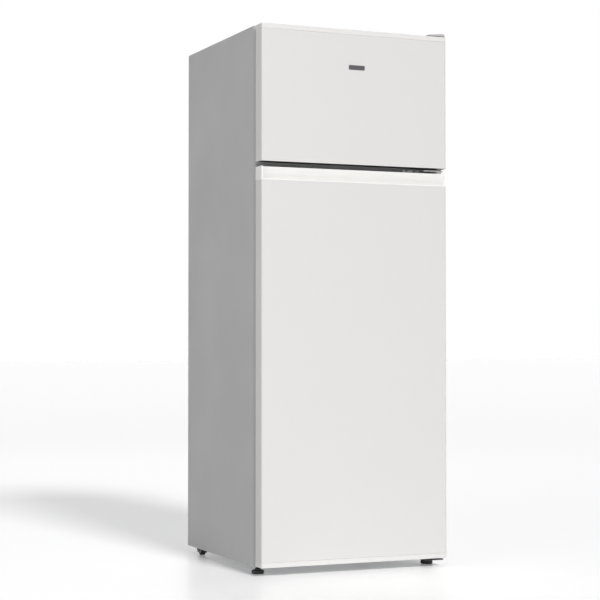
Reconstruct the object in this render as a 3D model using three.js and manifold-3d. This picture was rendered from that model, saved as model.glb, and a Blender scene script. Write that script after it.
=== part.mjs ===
// Top freezer refrigerator, about 205 litres, as an assembly of separate pieces.
// Frame: millimetres, +X to the right of someone facing the doors, +Y to the rear, +Z up.
// Origin: on the floor, at the middle of the overall box. Both doors hang on the right.
import * as THREE from 'three';
import { mergeVertices } from 'three/addons/utils/BufferGeometryUtils.js';
import Module from 'manifold-3d';

const wasm = await Module();
wasm.setup();

// ---------------------------------------------------------------- driving dimensions
const width = 540;                // over the side panels and over the doors
const depth = 565;                // badge face to rear edge of the side panels
const cabinetTop = 1430;          // floor to the top panel
const clearance = 0.3;            // air left between touching pieces

const badgeThickness = 1;
const doorThickness = 42;
const gasketThickness = 10;       // door rear plane to cabinet front plane
const doorTopDrop = 1;            // door top below the top panel
const freezerDoorHeight = 357;
const doorGap = 13;               // between the two doors
const doorLift = 3;               // lower door above the cabinet's underside
const openSideRadius = 5;         // vertical door edge on the opening side
const hingeSideRadius = 9;        // vertical door edge on the hinge side
const doorSheet = 0.6;
const doorReturn = 12;            // door sheet folded in at the rear
const capHeight = 13;             // plastic end caps of the doors
const capWall = 2.2;

const baseGap = 21;               // floor to the cabinet's underside
const cabinetSheet = 0.8;
const frontReturn = 30;           // side and top panels folded in at the front
const rearReturn = 12;
const frontEdgeRadius = 8;        // rounded fold beside the door gasket
const linerWall = 1.6;
const linerLip = 8;               // liner flange above and below its mouth
const freezerSideWall = 55;       // insulation beside the freezer
const fridgeSideWall = 45;        // insulation beside the fresh food room
const topWall = 55;
const rearWall = 60;
const mullionOverlap = 30;        // door edge to the room behind it, at the mullion
const fridgeFloor = 85;
const nicheDepth = 182;           // compressor space at the rear
const nicheTop = 215;
const nicheWall = 42;             // insulation round the compressor space
const condenserSpace = 8;         // between insulation and back panel

const coveHeight = 32;            // finger recess at the top of the lower door
const coveSetback = 11;           // recess at the door's top edge
const coveDepth = 17;             // recess at its deepest
const troughDrop = 14;            // trough behind the lip
const lipThickness = 4;
const lipHeight = 4;              // plastic lip above the door sheet
const coveEndWall = 3.5;

const hingeInset = 16;            // hinge axis from the door's right edge
const hingeSetback = 20;          // hinge axis behind the door front
const pinRadius = 4;
const pinReach = 12;              // pin length inside a door cap
const boreClearance = 0.4;
const bushRadius = 7.5;
const hingePlate = 2.5;
const hingeBlade = 3;             // middle and bottom hinge plates

const gasketWidth = 18;
const gasketSideInset = 12;
const gasketEndInset = 8;         // from the door edge beside the mullion
const gasketOuterInset = 13;      // from the door's top or bottom edge

const dykeWidth = 16;             // ridge round the door's inner face
const dykeRise = 45;
const dykeWall = 1.5;
const dykeSideGap = 15;           // ridge to the room's side walls
const dykeEndGap = 10;            // ridge to the room's floor and ceiling
const binWall = 2.2;
const binReach = 89;              // door rear plane to the bin's inner face
const freezerBinPitch = 122;

const footRadius = 16.5;
const footHeight = 10;
const footInset = 22;             // foot axis from the side
const footSetback = 80;           // foot axis behind the door front
const footStem = 5;
const rollerRadius = 14;
const rollerWidth = 14;
const rollerInset = 18.5;         // roller middle from the side
const rollerSetback = 70;         // roller axle from the rear
const axleRadius = 3;

const shelfGlass = 3.2;
const shelfBinGap = 32;           // door bins to the shelves
const trimHeight = 20;
const trimDepth = 11;
const upperShelfDrop = 249;       // below the fresh food room's ceiling
const middleShelfDrop = 509;
const freezerShelfRise = 134;     // above the freezer's floor
const drawerTopGap = 12;          // under the crisper cover's trim
const drawerBinGap = 12;          // door bins to the drawer
const drawerWall = 2.4;

// ---------------------------------------------------------------- planes worked out
const half = width / 2;
const rear = depth / 2;
const doorFront = -depth / 2 + badgeThickness + clearance;
const doorRear = doorFront + doorThickness;
const cabinetFront = doorRear + gasketThickness;
const innerSide = half - cabinetSheet;
const freezerDoorTop = cabinetTop - doorTopDrop;
const freezerDoorBottom = freezerDoorTop - freezerDoorHeight;
const fridgeDoorTop = freezerDoorBottom - doorGap;
const fridgeDoorBottom = baseGap + doorLift;
const freezerFloor = freezerDoorBottom + mullionOverlap;
const fridgeCeiling = fridgeDoorTop - mullionOverlap;
const freezerHalf = half - freezerSideWall;
const fridgeHalf = half - fridgeSideWall;
const freezerCeiling = cabinetTop - topWall;
const roomRear = rear - rearWall;
const nicheFront = rear - nicheDepth;
const humpFront = nicheFront - nicheWall;
const humpTop = nicheTop + nicheWall;
const foamRear = rear - cabinetSheet - clearance - cabinetSheet - condenserSpace;
const hingeX = half - hingeInset;
const hingeY = doorFront + hingeSetback;
const middlePlateBottom = (fridgeDoorTop + freezerDoorBottom - hingeBlade) / 2;
const plateFront = hingeY - 10;
const linerFront = cabinetFront;
const foamFront = cabinetFront + linerWall + clearance;
const shelfFront = doorRear + binReach + shelfBinGap;
const upperShelfHeight = fridgeCeiling - upperShelfDrop;
const middleShelfHeight = fridgeCeiling - middleShelfDrop;
const freezerShelfHeight = freezerFloor + freezerShelfRise;

// ---------------------------------------------------------------- solids
/** A closed geometry as a manifold solid, with its shared corners merged. */
function solid(geometry) {
  const bare = geometry.clone();
  bare.deleteAttribute('normal');
  bare.deleteAttribute('uv');
  const merged = mergeVertices(bare, 1e-4);
  const mesh = new wasm.Mesh({
    numProp: 3,
    vertProperties: new Float32Array(merged.attributes.position.array),
    triVerts: new Uint32Array(merged.index.array),
  });
  return new wasm.Manifold(mesh);
}

/** Triangle geometry of a closed solid. */
function geometryOf(body) {
  const mesh = body.getMesh();
  const geometry = new THREE.BufferGeometry();
  geometry.setAttribute('position', new THREE.BufferAttribute(mesh.vertProperties, 3));
  geometry.setIndex(new THREE.BufferAttribute(mesh.triVerts, 1));
  geometry.computeVertexNormals();
  return geometry;
}

/** Box from its ranges along X, Y and Z. */
function block([x0, x1], [y0, y1], [z0, z1]) {
  const geometry = new THREE.BoxGeometry(x1 - x0, y1 - y0, z1 - z0);
  return solid(geometry.translate((x0 + x1) / 2, (y0 + y1) / 2, (z0 + z1) / 2));
}

/** Outline of (x, y) points carried up from z0 to z1. */
function prismZ(shape, [z0, z1], curveSegments = 4) {
  const options = { depth: z1 - z0, bevelEnabled: false, curveSegments };
  return solid(new THREE.ExtrudeGeometry(shape, options).translate(0, 0, z0));
}

/** Outline of (y, z) points carried across from x0 to x1. */
function prismX(shape, [x0, x1], curveSegments = 4) {
  const options = { depth: x1 - x0, bevelEnabled: false, curveSegments };
  const geometry = new THREE.ExtrudeGeometry(shape, options);
  const turn = new THREE.Matrix4().makeBasis(
    new THREE.Vector3(0, 1, 0), new THREE.Vector3(0, 0, 1), new THREE.Vector3(1, 0, 0));
  return solid(geometry.applyMatrix4(turn).translate(x0, 0, 0));
}

/** Outline of (x, z) points carried back from y0 to y1. */
function prismY(shape, [y0, y1], curveSegments = 4) {
  const options = { depth: y1 - y0, bevelEnabled: false, curveSegments };
  const geometry = new THREE.ExtrudeGeometry(shape, options);
  const turn = new THREE.Matrix4().makeBasis(
    new THREE.Vector3(1, 0, 0), new THREE.Vector3(0, 0, 1), new THREE.Vector3(0, -1, 0));
  return solid(geometry.applyMatrix4(turn).translate(0, y1, 0));
}

/** Upright rod from z0 to z1. */
function rodZ(x, y, radius, [z0, z1], sides = 20) {
  const geometry = new THREE.CylinderGeometry(radius, radius, z1 - z0, sides);
  return solid(geometry.rotateX(Math.PI / 2).translate(x, y, (z0 + z1) / 2));
}

/** Rod along X from x0 to x1. */
function rodX(y, z, radius, [x0, x1], sides = 20) {
  const geometry = new THREE.CylinderGeometry(radius, radius, x1 - x0, sides);
  return solid(geometry.rotateZ(Math.PI / 2).translate((x0 + x1) / 2, y, z));
}

/** Body of revolution about an upright axis, from (radius, height) points. */
function turned(x, y, z, points, sides = 20) {
  const profile = points.map(([radius, height]) => new THREE.Vector2(radius, height));
  const geometry = new THREE.LatheGeometry(profile, sides);
  return solid(geometry.rotateX(Math.PI / 2).translate(x, y, z));
}

/** Closed outline from its corner points. */
function outline(points) {
  return new THREE.Shape(points.map(([u, v]) => new THREE.Vector2(u, v)));
}

/** Range moved in by the same amount at both ends. */
function shrunk([from, to], amount) {
  return [from + amount, to - amount];
}

/** Rectangle with round corners. */
function roundedRect([u0, u1], [v0, v1], radius) {
  const shape = new THREE.Shape();
  const right = Math.PI / 2;
  shape.absarc(u1 - radius, v0 + radius, radius, -right, 0, false);
  shape.absarc(u1 - radius, v1 - radius, radius, 0, right, false);
  shape.absarc(u0 + radius, v1 - radius, radius, right, 2 * right, false);
  shape.absarc(u0 + radius, v0 + radius, radius, 2 * right, 3 * right, false);
  shape.closePath();
  return shape;
}

/** Centre line made of straights joined by round bends, with stations only where it turns. */
class BentLine extends THREE.Curve {
  constructor(corners, bendRadius, bendSteps = 4) {
    super();
    this.stations = [];
    const points = corners.map((corner) => new THREE.Vector3(...corner));
    const firstWay = points[1].clone().sub(points[0]).normalize();
    this.stations.push([points[0], firstWay]);
    for (let i = 1; i < points.length - 1; i += 1) {
      this.addBend(points[i - 1], points[i], points[i + 1], bendRadius, bendSteps);
    }
    const last = points.length - 1;
    const lastWay = points[last].clone().sub(points[last - 1]).normalize();
    this.stations.push([points[last], lastWay]);
  }

  addBend(before, corner, after, bendRadius, bendSteps) {
    const into = corner.clone().sub(before).normalize();
    const out = after.clone().sub(corner).normalize();
    const angle = into.angleTo(out);
    const setback = bendRadius * Math.tan(angle / 2);
    const start = corner.clone().addScaledVector(into, -setback);
    const side = out.clone().addScaledVector(into, -into.dot(out)).normalize();
    const centre = start.clone().addScaledVector(side, bendRadius);
    for (let k = 0; k <= bendSteps; k += 1) {
      const turn = angle * k / bendSteps;
      const place = centre.clone()
        .addScaledVector(side, -bendRadius * Math.cos(turn))
        .addScaledVector(into, bendRadius * Math.sin(turn));
      const way = into.clone().multiplyScalar(Math.cos(turn)).addScaledVector(side, Math.sin(turn));
      this.stations.push([place, way]);
    }
  }

  station(u) {
    return this.stations[Math.round(u * (this.stations.length - 1))];
  }

  getPointAt(u) {
    return this.station(u)[0].clone();
  }

  getTangentAt(u) {
    return this.station(u)[1].clone();
  }
}

/** Round tube along a bent centre line. */
function bentTube(corners, bendRadius, radius, sides = 8) {
  const line = new BentLine(corners, bendRadius);
  const section = new THREE.Shape();
  for (let k = 0; k < sides; k += 1) {
    const turn = 2 * Math.PI * k / sides;
    const point = [radius * Math.cos(turn), radius * Math.sin(turn)];
    if (k === 0) section.moveTo(...point);
    else section.lineTo(...point);
  }
  section.closePath();
  const steps = line.stations.length - 1;
  return solid(new THREE.ExtrudeGeometry(section, { steps, bevelEnabled: false, extrudePath: line }));
}

// ---------------------------------------------------------------- finishes
const finishes = {
  whiteSheet: { color: 0xe3e2e0, roughness: 0.35, metalness: 0.0 },
  cabinetSheet: { color: 0xd2d1cf, roughness: 0.45, metalness: 0.0 },
  whitePlastic: { color: 0xe6e5e2, roughness: 0.4, metalness: 0.0 },
  linerPlastic: { color: 0xeeeeea, roughness: 0.35, metalness: 0.0 },
  clearPlastic: { color: 0xdbe8ea, roughness: 0.15, metalness: 0.0, transparent: true, opacity: 0.45 },
  glass: { color: 0xcfe3dc, roughness: 0.05, metalness: 0.0, transparent: true, opacity: 0.35 },
  greyPlastic: { color: 0xb2b1ae, roughness: 0.5, metalness: 0.0 },
  blackPlastic: { color: 0x1e1e1f, roughness: 0.6, metalness: 0.0 },
  gasket: { color: 0xb4b3b1, roughness: 0.8, metalness: 0.0 },
  foam: { color: 0xe2d3a2, roughness: 1.0, metalness: 0.0 },
  galvanised: { color: 0xa4a7a9, roughness: 0.45, metalness: 0.8 },
  hingeSteel: { color: 0xb9b9b7, roughness: 0.4, metalness: 0.6 },
  blackSteel: { color: 0x1c1d1f, roughness: 0.5, metalness: 0.2 },
  copper: { color: 0xb8703f, roughness: 0.35, metalness: 1.0 },
  aluminium: { color: 0xc4c6c8, roughness: 0.4, metalness: 1.0 },
};

const refrigerator = new THREE.Group();

/** Adds one named piece to the refrigerator. */
function piece(name, body, finish) {
  const mesh = new THREE.Mesh(geometryOf(body), new THREE.MeshStandardMaterial(finishes[finish]));
  mesh.name = name;
  refrigerator.add(mesh);
}

// ---------------------------------------------------------------- cabinet shell
/** Plan outline of the cabinet with its rounded front folds, moved in by inset. */
function cabinetPlan(inset) {
  const shape = new THREE.Shape();
  const side = half - inset;
  const front = cabinetFront + inset;
  const radius = frontEdgeRadius - inset;
  shape.moveTo(side, rear - inset);
  shape.lineTo(-side, rear - inset);
  shape.lineTo(-side, front + radius);
  shape.absarc(-side + radius, front + radius, radius, Math.PI, 1.5 * Math.PI, false);
  shape.absarc(side - radius, front + radius, radius, 1.5 * Math.PI, 2 * Math.PI, false);
  shape.closePath();
  return shape;
}

function buildSidePanels() {
  const tall = [baseGap, cabinetTop];
  const through = [baseGap - 1, cabinetTop + 1];
  const inside = prismZ(cabinetPlan(cabinetSheet), through)
    .add(block([-half + frontReturn, half - frontReturn], [cabinetFront - 1, cabinetFront + 2], through))
    .add(block([-half + rearReturn, half - rearReturn], [rear - 2, rear + 1], through));
  const shell = prismZ(cabinetPlan(0), tall).subtract(inside);
  const leftHalf = block([-half - 1, 0], [cabinetFront - 1, rear + 1], through);
  piece('side_panel_left', shell.intersect(leftHalf), 'cabinetSheet');
  piece('side_panel_right', shell.subtract(leftHalf), 'cabinetSheet');
}

/** Side outline of the top panel: flat top with a rounded fold down at the front. */
function topPanelSection(inset) {
  const shape = new THREE.Shape();
  const top = cabinetTop - inset;
  const front = cabinetFront + inset;
  const radius = frontEdgeRadius - inset;
  const bottom = cabinetTop - frontReturn - (inset > 0 ? 1 : 0);
  const back = rear - 2 * cabinetSheet - 2 * clearance + (inset > 0 ? 1 : 0);
  shape.moveTo(front, bottom);
  shape.lineTo(back, bottom);
  shape.lineTo(back, top);
  shape.lineTo(front + radius, top);
  shape.absarc(front + radius, top - radius, radius, Math.PI / 2, Math.PI, false);
  shape.closePath();
  return shape;
}

function buildTopPanel() {
  const span = [-innerSide + clearance, innerSide - clearance];
  const frontSpan = half - frontReturn - clearance;
  const sheet = prismX(topPanelSection(0), span)
    .subtract(prismX(topPanelSection(cabinetSheet), [span[0] - 1, span[1] + 1]));
  const noseBack = cabinetFront + cabinetSheet + clearance;
  const flangeEnds = [-1, 1].map((side) => block(
    side < 0 ? [-half - 1, -frontSpan] : [frontSpan, half + 1],
    [cabinetFront - 1, noseBack + frontEdgeRadius],
    [cabinetTop - frontReturn - 2, cabinetTop + 1]));
  piece('top_panel', sheet.subtract(flangeEnds[0]).subtract(flangeEnds[1]), 'cabinetSheet');
}

function buildBackPanel() {
  const side = innerSide - clearance;
  const outer = rear - cabinetSheet - clearance;
  const beads = 5;
  const beadHalf = 14;
  const beadSlope = 3;
  const beadPress = 1.5;
  const line = [[-side, 0]];
  for (let k = 0; k < beads; k += 1) {
    const middle = -side + 2 * side * (k + 0.5) / beads;
    line.push([middle - beadHalf, 0]);
    line.push([middle - beadHalf + beadSlope, beadPress]);
    line.push([middle + beadHalf - beadSlope, beadPress]);
    line.push([middle + beadHalf, 0]);
  }
  line.push([side, 0]);
  const rearLine = line.map(([x, press]) => [x, outer - press]);
  const frontLine = line.map(([x, press]) => [x, outer - press - cabinetSheet]).reverse();
  const sheet = prismZ(outline([...rearLine, ...frontLine]), [nicheTop, cabinetTop - 1.5]);
  piece('back_panel', sheet, 'galvanised');
}

function buildFrontBaseRail() {
  const railDepth = 75;
  const railSheet = 1.5;
  const footY = doorFront + footSetback;
  const footX = half - footInset;
  const between = half - frontReturn - clearance;
  const top = fridgeFloor - linerLip - clearance;
  const backOfReturn = cabinetFront + cabinetSheet + clearance;
  const inner = innerSide - clearance;
  let rail = block([-between, between], [cabinetFront, cabinetFront + railSheet], [baseGap, top])
    .add(block([-between, between], [cabinetFront, cabinetFront + railDepth],
      [baseGap, baseGap + railSheet]));
  rail = rail.add(prismZ(outline([
    [-inner, cabinetFront + frontEdgeRadius], [-inner + frontEdgeRadius, backOfReturn],
    [inner - frontEdgeRadius, backOfReturn], [inner, cabinetFront + frontEdgeRadius],
    [inner, cabinetFront + railDepth], [-inner, cabinetFront + railDepth]]), [baseGap, baseGap + railSheet]));
  for (const x of [-footX, footX]) {
    rail = rail.add(rodZ(x, footY, footStem + 4, [baseGap, baseGap + 9], 6));
    rail = rail.subtract(rodZ(x, footY, footStem + boreClearance, [baseGap - 1, baseGap + 12], 16));
  }
  piece('front_base_rail', rail, 'galvanised');
  return cabinetFront + railDepth + clearance;
}

function buildBottomPlate(plateStart) {
  const sheet = 1;
  const inner = innerSide - clearance;
  const section = outline([
    [plateStart, baseGap], [nicheFront, baseGap], [nicheFront, nicheTop - sheet],
    [foamRear, nicheTop - sheet], [foamRear, nicheTop], [nicheFront - sheet, nicheTop],
    [nicheFront - sheet, baseGap + sheet], [plateStart, baseGap + sheet]]);
  const plate = prismX(section, [-inner, inner])
    .subtract(rodZ(drain.x, drain.y, drain.radius + boreClearance, [nicheTop - 5, nicheTop + 5], 16))
    .subtract(rodZ(suction.x, suction.y, suction.radius + 2, [nicheTop - 5, nicheTop + 5], 16));
  piece('bottom_plate', plate, 'galvanised');
}

// ---------------------------------------------------------------- insulation and liners
const drain = { x: 0, y: roomRear - 18, radius: 8 };
const suction = { x: 62, y: foamRear - 14, radius: 3.2 };
const evaporatorSheet = 1.5;
const evaporators = {
  freezer: { side: freezerHalf - 20, low: freezerFloor + 20, high: freezerCeiling - 20 },
  fridge: { side: fridgeHalf - 60, low: fridgeCeiling - 300, high: fridgeCeiling - 40 },
};

/** Outline of the freezer room in (x, z), grown by wall. */
function freezerMouth(wall) {
  const radius = 12 + wall;
  return roundedRect([-freezerHalf - wall, freezerHalf + wall],
    [freezerFloor - wall, freezerCeiling + wall], radius);
}

/** Side outline of the fresh food room in (y, z), with the step over the compressor. */
function fridgeSection(wall, front) {
  return outline([
    [front, fridgeFloor - wall], [humpFront + wall - 20, fridgeFloor - wall],
    [humpFront + wall, fridgeFloor - wall + 20], [humpFront + wall, humpTop - wall],
    [roomRear + wall, humpTop - wall], [roomRear + wall, fridgeCeiling + wall],
    [front, fridgeCeiling + wall]]);
}

function fridgeRoom(wall, front) {
  const side = fridgeHalf + wall;
  return prismX(fridgeSection(wall, front), [-side, side]);
}

function buildFoam() {
  const gap = clearance;
  const bodyBottom = baseGap + 1.5 + gap;
  let foam = block([-innerSide + gap, innerSide - gap], [foamFront, foamRear],
    [bodyBottom, cabinetTop - cabinetSheet - gap]);
  const foldRoom = frontEdgeRadius;
  for (const side of [-1, 1]) {
    const edge = side * innerSide;
    foam = foam.subtract(prismZ(outline([
      [edge + side, foamFront - 1], [edge + side, foamFront + foldRoom],
      [edge - side * foldRoom, foamFront - 1]]), [0, cabinetTop + 1]));
  }
  foam = foam.subtract(prismX(outline([
    [foamFront - 1, cabinetTop + 1], [foamFront - 1, cabinetTop - cabinetSheet - foldRoom],
    [foamFront + foldRoom, cabinetTop + 1]]), [-half, half]));
  const grow = linerWall + gap;
  const freezerSpace = block([-freezerHalf - grow, freezerHalf + grow], [cabinetFront, roomRear + grow],
    [freezerFloor - grow, freezerCeiling + grow]);
  foam = foam
    .subtract(freezerSpace)
    .subtract(fridgeRoom(linerWall + gap, cabinetFront))
    .subtract(block([-half, half], [nicheFront - 1 - gap, rear + 1], [0, nicheTop + gap]));
  const chase = [suction.x - 6, suction.x + 6];
  const suctionEntry = [evaporators.freezer.low + 20, evaporators.freezer.low + 40];
  const plateSpace = [roomRear, roomRear + linerWall + evaporatorSheet + 3 * gap];
  for (const plate of Object.values(evaporators)) {
    foam = foam.subtract(block([-plate.side - gap, plate.side + gap], plateSpace,
      [plate.low - gap, plate.high + gap]));
  }
  foam = foam
    .subtract(block(chase, [suction.y - 6, rear], [nicheTop - 5, suctionEntry[1]]))
    .subtract(block(chase, [roomRear + 2, rear], suctionEntry))
    .subtract(rodZ(drain.x, drain.y, drain.radius + gap, [nicheTop - 5, humpTop + 5], 16));
  for (const x of [-half + footInset, half - footInset]) {
    foam = foam.subtract(rodZ(x, doorFront + footSetback, footStem + 6, [0, baseGap + 50], 12));
  }
  piece('cabinet_foam', foam, 'foam');
}

/** Flat frame in the cabinet's front plane, from a liner's mouth out to its neighbours. */
function linerFlange(low, high) {
  const side = half - frontReturn - clearance;
  return block([-side, side], [linerFront, linerFront + linerWall], [low, high]);
}

function buildFreezerLiner() {
  let liner = prismY(freezerMouth(linerWall), [linerFront, roomRear + linerWall])
    .add(linerFlange(freezerFloor - linerLip, cabinetTop - frontReturn - clearance))
    .subtract(prismY(freezerMouth(0), [linerFront - 1, roomRear]));
  liner = addShelfRibs(liner, freezerHalf, freezerShelfHeight, 4);
  piece('freezer_liner', liner, 'linerPlastic');
}

/** Adds a pair of ledges inside a liner, just under a shelf. */
function addShelfRibs(liner, side, shelfHeight, reach) {
  const rib = [shelfFront + 20, roomRear - 10];
  const tall = [shelfHeight - 8, shelfHeight - clearance];
  return liner
    .add(block([-side - linerWall / 2, -side + reach], rib, tall))
    .add(block([side - reach, side + linerWall / 2], rib, tall));
}

function buildFridgeLiner() {
  const low = fridgeFloor - linerLip;
  const high = fridgeCeiling + linerLip;
  let liner = fridgeRoom(linerWall, linerFront)
    .add(linerFlange(low, high))
    .subtract(fridgeRoom(0, linerFront - 1));
  for (const height of [upperShelfHeight, middleShelfHeight]) {
    liner = addShelfRibs(liner, fridgeHalf, height, 4);
  }
  liner = liner.subtract(rodZ(drain.x, drain.y, drain.radius - 2, [humpTop - 5, humpTop + 5], 12));
  piece('fridge_liner', liner, 'linerPlastic');
}

function buildMullionCover() {
  const side = half - frontReturn - clearance;
  const low = fridgeCeiling + linerLip + clearance;
  const high = freezerFloor - linerLip - clearance;
  const plate = block([-side, side], [cabinetFront, cabinetFront + linerWall], [low, high]);
  piece('mullion_cover', plate, 'cabinetSheet');
}

function buildEvaporators() {
  const front = roomRear + linerWall + clearance;
  for (const [name, plate] of Object.entries(evaporators)) {
    const shape = roundedRect([-plate.side, plate.side], [plate.low, plate.high], 10);
    piece(`${name}_evaporator`, prismY(shape, [front, front + evaporatorSheet], 3), 'aluminium');
  }
}

// ---------------------------------------------------------------- compressor space
const compressor = { x: 58, y: nicheFront + 92, low: 41, high: 186, halfLong: 92, halfWide: 70 };
const baseTop = 2 * rollerRadius + 3.5;

function buildCompressorBase() {
  const sheet = 1.5;
  const inner = innerSide - clearance;
  const front = nicheFront + clearance;
  const back = rear - 6;
  const low = baseTop - sheet;
  let base = block([-inner, inner], [front, back], [low, baseTop])
    .add(block([-inner, inner], [back - sheet, back], [low, baseTop + 12]));
  const lugHalf = 32;
  const axleY = rear - rollerSetback;
  for (const side of [-1, 1]) {
    base = base.add(block([side * inner, side * (inner - sheet)].sort((a, b) => a - b), [front, back],
      [low, baseTop + 14]));
    for (const face of [-1, 1]) {
      const middle = side * (half - rollerInset) + face * (rollerWidth / 2 + 1);
      const span = face > 0 ? [middle, middle + sheet] : [middle - sheet, middle];
      const lug = outline([
        [axleY - lugHalf, baseTop], [axleY - 12, rollerRadius - 7], [axleY + 12, rollerRadius - 7],
        [axleY + lugHalf, baseTop]]);
      base = base.add(prismX(lug, span));
    }
    const middle = side * (half - rollerInset);
    const pinHalf = rollerWidth / 2 + 4;
    base = base.add(rodX(axleY, rollerRadius, axleRadius, [middle - pinHalf, middle + pinHalf], 14));
  }
  piece('compressor_base', base, 'blackSteel');
}

function buildRollers() {
  const axleY = rear - rollerSetback;
  for (const [label, side] of [['left', -1], ['right', 1]]) {
    const middle = side * (half - rollerInset);
    const wheelHalf = rollerWidth / 2;
    const wheel = rodX(axleY, rollerRadius, rollerRadius, [middle - wheelHalf, middle + wheelHalf], 28)
      .subtract(rodX(axleY, rollerRadius, axleRadius + boreClearance, [middle - 20, middle + 20], 14));
    piece(`rear_roller_${label}`, wheel, 'blackPlastic');
  }
}

function buildCompressor() {
  const { x, y, low, high, halfLong, halfWide } = compressor;
  const relayTop = low + 102;
  const tall = high - low;
  const unit = turned(0, 0, 0, [
    [0, 0], [0.62, 0], [0.86, 0.07], [0.96, 0.2], [0.96, 0.42], [1, 0.42], [1, 0.46], [0.95, 0.46],
    [0.95, 0.72], [0.86, 0.86], [0.66, 0.96], [0.36, 1], [0, 1]], 28);
  let body = unit.scale([halfLong, halfWide, tall]).translate([x, y, low]);
  for (const side of [-1, 1]) {
    const leg = side * (halfLong - 12);
    body = body.add(block([x + leg - 16, x + leg + 16], [y - halfWide, y + halfWide], [low, low + 4]));
  }
  piece('compressor', body, 'blackSteel');
  const relayX = x - halfLong;
  const relay = block([relayX - 38, relayX - 1], [y - 34, y + 30], [low + 20, relayTop])
    .subtract(block([relayX - 36, relayX + 1], [y - 32, y + 28], [low + 22, relayTop - 2]));
  const gland = rodX(y + 12, low + 36, 8, [relayX - 50, relayX - 37], 16)
    .subtract(rodX(y + 12, low + 36, 4, [relayX - 52, relayX - 30], 12));
  const glandBore = rodX(y + 12, low + 36, 4, [relayX - 52, relayX - 30], 12);
  piece('compressor_relay_cover', relay.subtract(glandBore).add(gland), 'blackPlastic');
}

function buildDripTray() {
  const { x, y, high } = compressor;
  const low = high + clearance;
  const top = low + 18;
  const wall = 1.8;
  const spanX = [x - 95, x + 85];
  const spanY = [y - 55, drain.y + drain.radius + 34];
  const corner = 14;
  const hollow = roundedRect(shrunk(spanX, wall), shrunk(spanY, wall), corner - wall);
  const tray = prismZ(roundedRect(spanX, spanY, corner), [low, top])
    .subtract(prismZ(hollow, [low + wall, top + 1]));
  piece('drip_tray', tray, 'blackPlastic');
  const tube = rodZ(drain.x, drain.y, drain.radius, [low + wall + 3, humpTop - linerWall - clearance], 16)
    .subtract(rodZ(drain.x, drain.y, drain.radius - 1.5, [low, humpTop + 5], 12));
  piece('drain_tube', tube, 'greyPlastic');
}

function buildPiping() {
  const tube = 2.4;
  const plane = foamRear + tube + clearance;
  const runs = 10;
  const side = innerSide - 36;
  const low = nicheTop + 40;
  const high = cabinetTop - 45;
  const pitch = 2 * side / (runs - 1);
  const corners = [[-side, plane, nicheTop - 28]];
  for (let k = 0; k < runs; k += 1) {
    const x = -side + k * pitch;
    const up = k % 2 === 0;
    if (k > 0) corners.push([x, plane, up ? low : high]);
    if (k < runs - 1) corners.push([x, plane, up ? high : low]);
  }
  corners.push([side, plane, nicheTop - 28]);
  piece('condenser_coil', bentTube(corners, 18, tube, 6), 'blackSteel');

  const { x, y, low: shellLow, halfLong, halfWide } = compressor;
  const port = shellLow + 50;
  const discharge = bentTube([
    [x + 40, y + halfWide + 1, port], [x + 40, rear - 14, port], [side, rear - 14, port],
    [side, plane - 0.5, nicheTop - 60], [side, plane, nicheTop - 28 - clearance]], 4, tube);
  piece('discharge_tube', discharge, 'copper');
  const suctionEnd = roomRear + linerWall + 2 * clearance + evaporatorSheet;
  const suctionTop = evaporators.freezer.low + 30;
  const line = bentTube([
    [x + halfLong + 1, y + 6, port + 20], [x + halfLong + 26, y + 6, port + 20],
    [x + halfLong + 26, suction.y, port + 45], [suction.x, suction.y, nicheTop - 16],
    [suction.x, suction.y, suctionTop], [suction.x, suctionEnd, suctionTop]], 7, suction.radius);
  piece('suction_tube', line, 'copper');
  const drier = turned(-side, plane - 2, nicheTop - 28 - clearance - 120, [
    [0, 0], [2, 0], [2, 12], [9, 22], [9, 96], [3, 108], [3, 120], [0, 120]], 14);
  piece('filter_drier', drier, 'copper');
}

// ---------------------------------------------------------------- fittings in the rooms
/** Glass plate with a plastic trim over its front edge. */
function buildShelf(name, side, height, front, back) {
  const glassTop = height + shelfGlass;
  const glassFront = front + 4;
  const lip = trimHeight / 2;
  const glass = block([-side, side], [glassFront, back], [height, glassTop]);
  const section = roundedRect([front, front + trimDepth], [height - lip, height + lip], 3);
  const trim = prismX(section, [-side, side], 3)
    .subtract(block([-side - 1, side + 1], [glassFront - clearance, front + trimDepth + 1],
      [height - clearance, glassTop + clearance]));
  piece(`${name}_glass`, glass, 'glass');
  piece(`${name}_trim`, trim, 'whitePlastic');
}

function buildShelves() {
  const front = shelfFront;
  const back = roomRear - 6;
  buildShelf('fridge_shelf_upper', fridgeHalf - 2, upperShelfHeight, front, back);
  buildShelf('fridge_shelf_middle', fridgeHalf - 2, middleShelfHeight, front, back);
  buildShelf('freezer_shelf', freezerHalf - 2, freezerShelfHeight, front, back);
  buildShelf('crisper_cover', fridgeHalf - 2, humpTop + clearance, front, back);
}

function buildCrisperDrawer() {
  const side = fridgeHalf - 14;
  const front = doorRear + binReach + drawerBinGap;
  const back = humpFront - 6;
  const low = fridgeFloor + 0.5;
  const top = humpTop + clearance - trimHeight / 2 - drawerTopGap;
  const wall = drawerWall;
  const tub = prismZ(roundedRect([-side, side], [front, back], 12), [low, top])
    .subtract(prismZ(roundedRect(shrunk([-side, side], wall), shrunk([front, back], wall), 12 - wall),
      [low + wall, top + 1]));
  const slope = prismX(outline([
    [back - 26, low - 1], [back + 1, low - 1], [back + 1, low + 26]]), [-side - 1, side + 1]);
  const slopeWall = prismX(outline([
    [back - 26 - wall * 1.5, low], [back - 26, low], [back, low + 26], [back, low + 26 + wall * 1.5]]),
  [-side + 6, side - 6]);
  const grip = prismX(outline([
    [front - 12, top - 20], [front - 12, top - 3], [front - 9, top], [front + 1, top],
    [front + 1, top - 3], [front - 9, top - 3], [front - 9, top - 20]]), [-90, 90]);
  piece('crisper_drawer', tub.subtract(slope).add(slopeWall).add(grip), 'clearPlastic');
}

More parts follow.
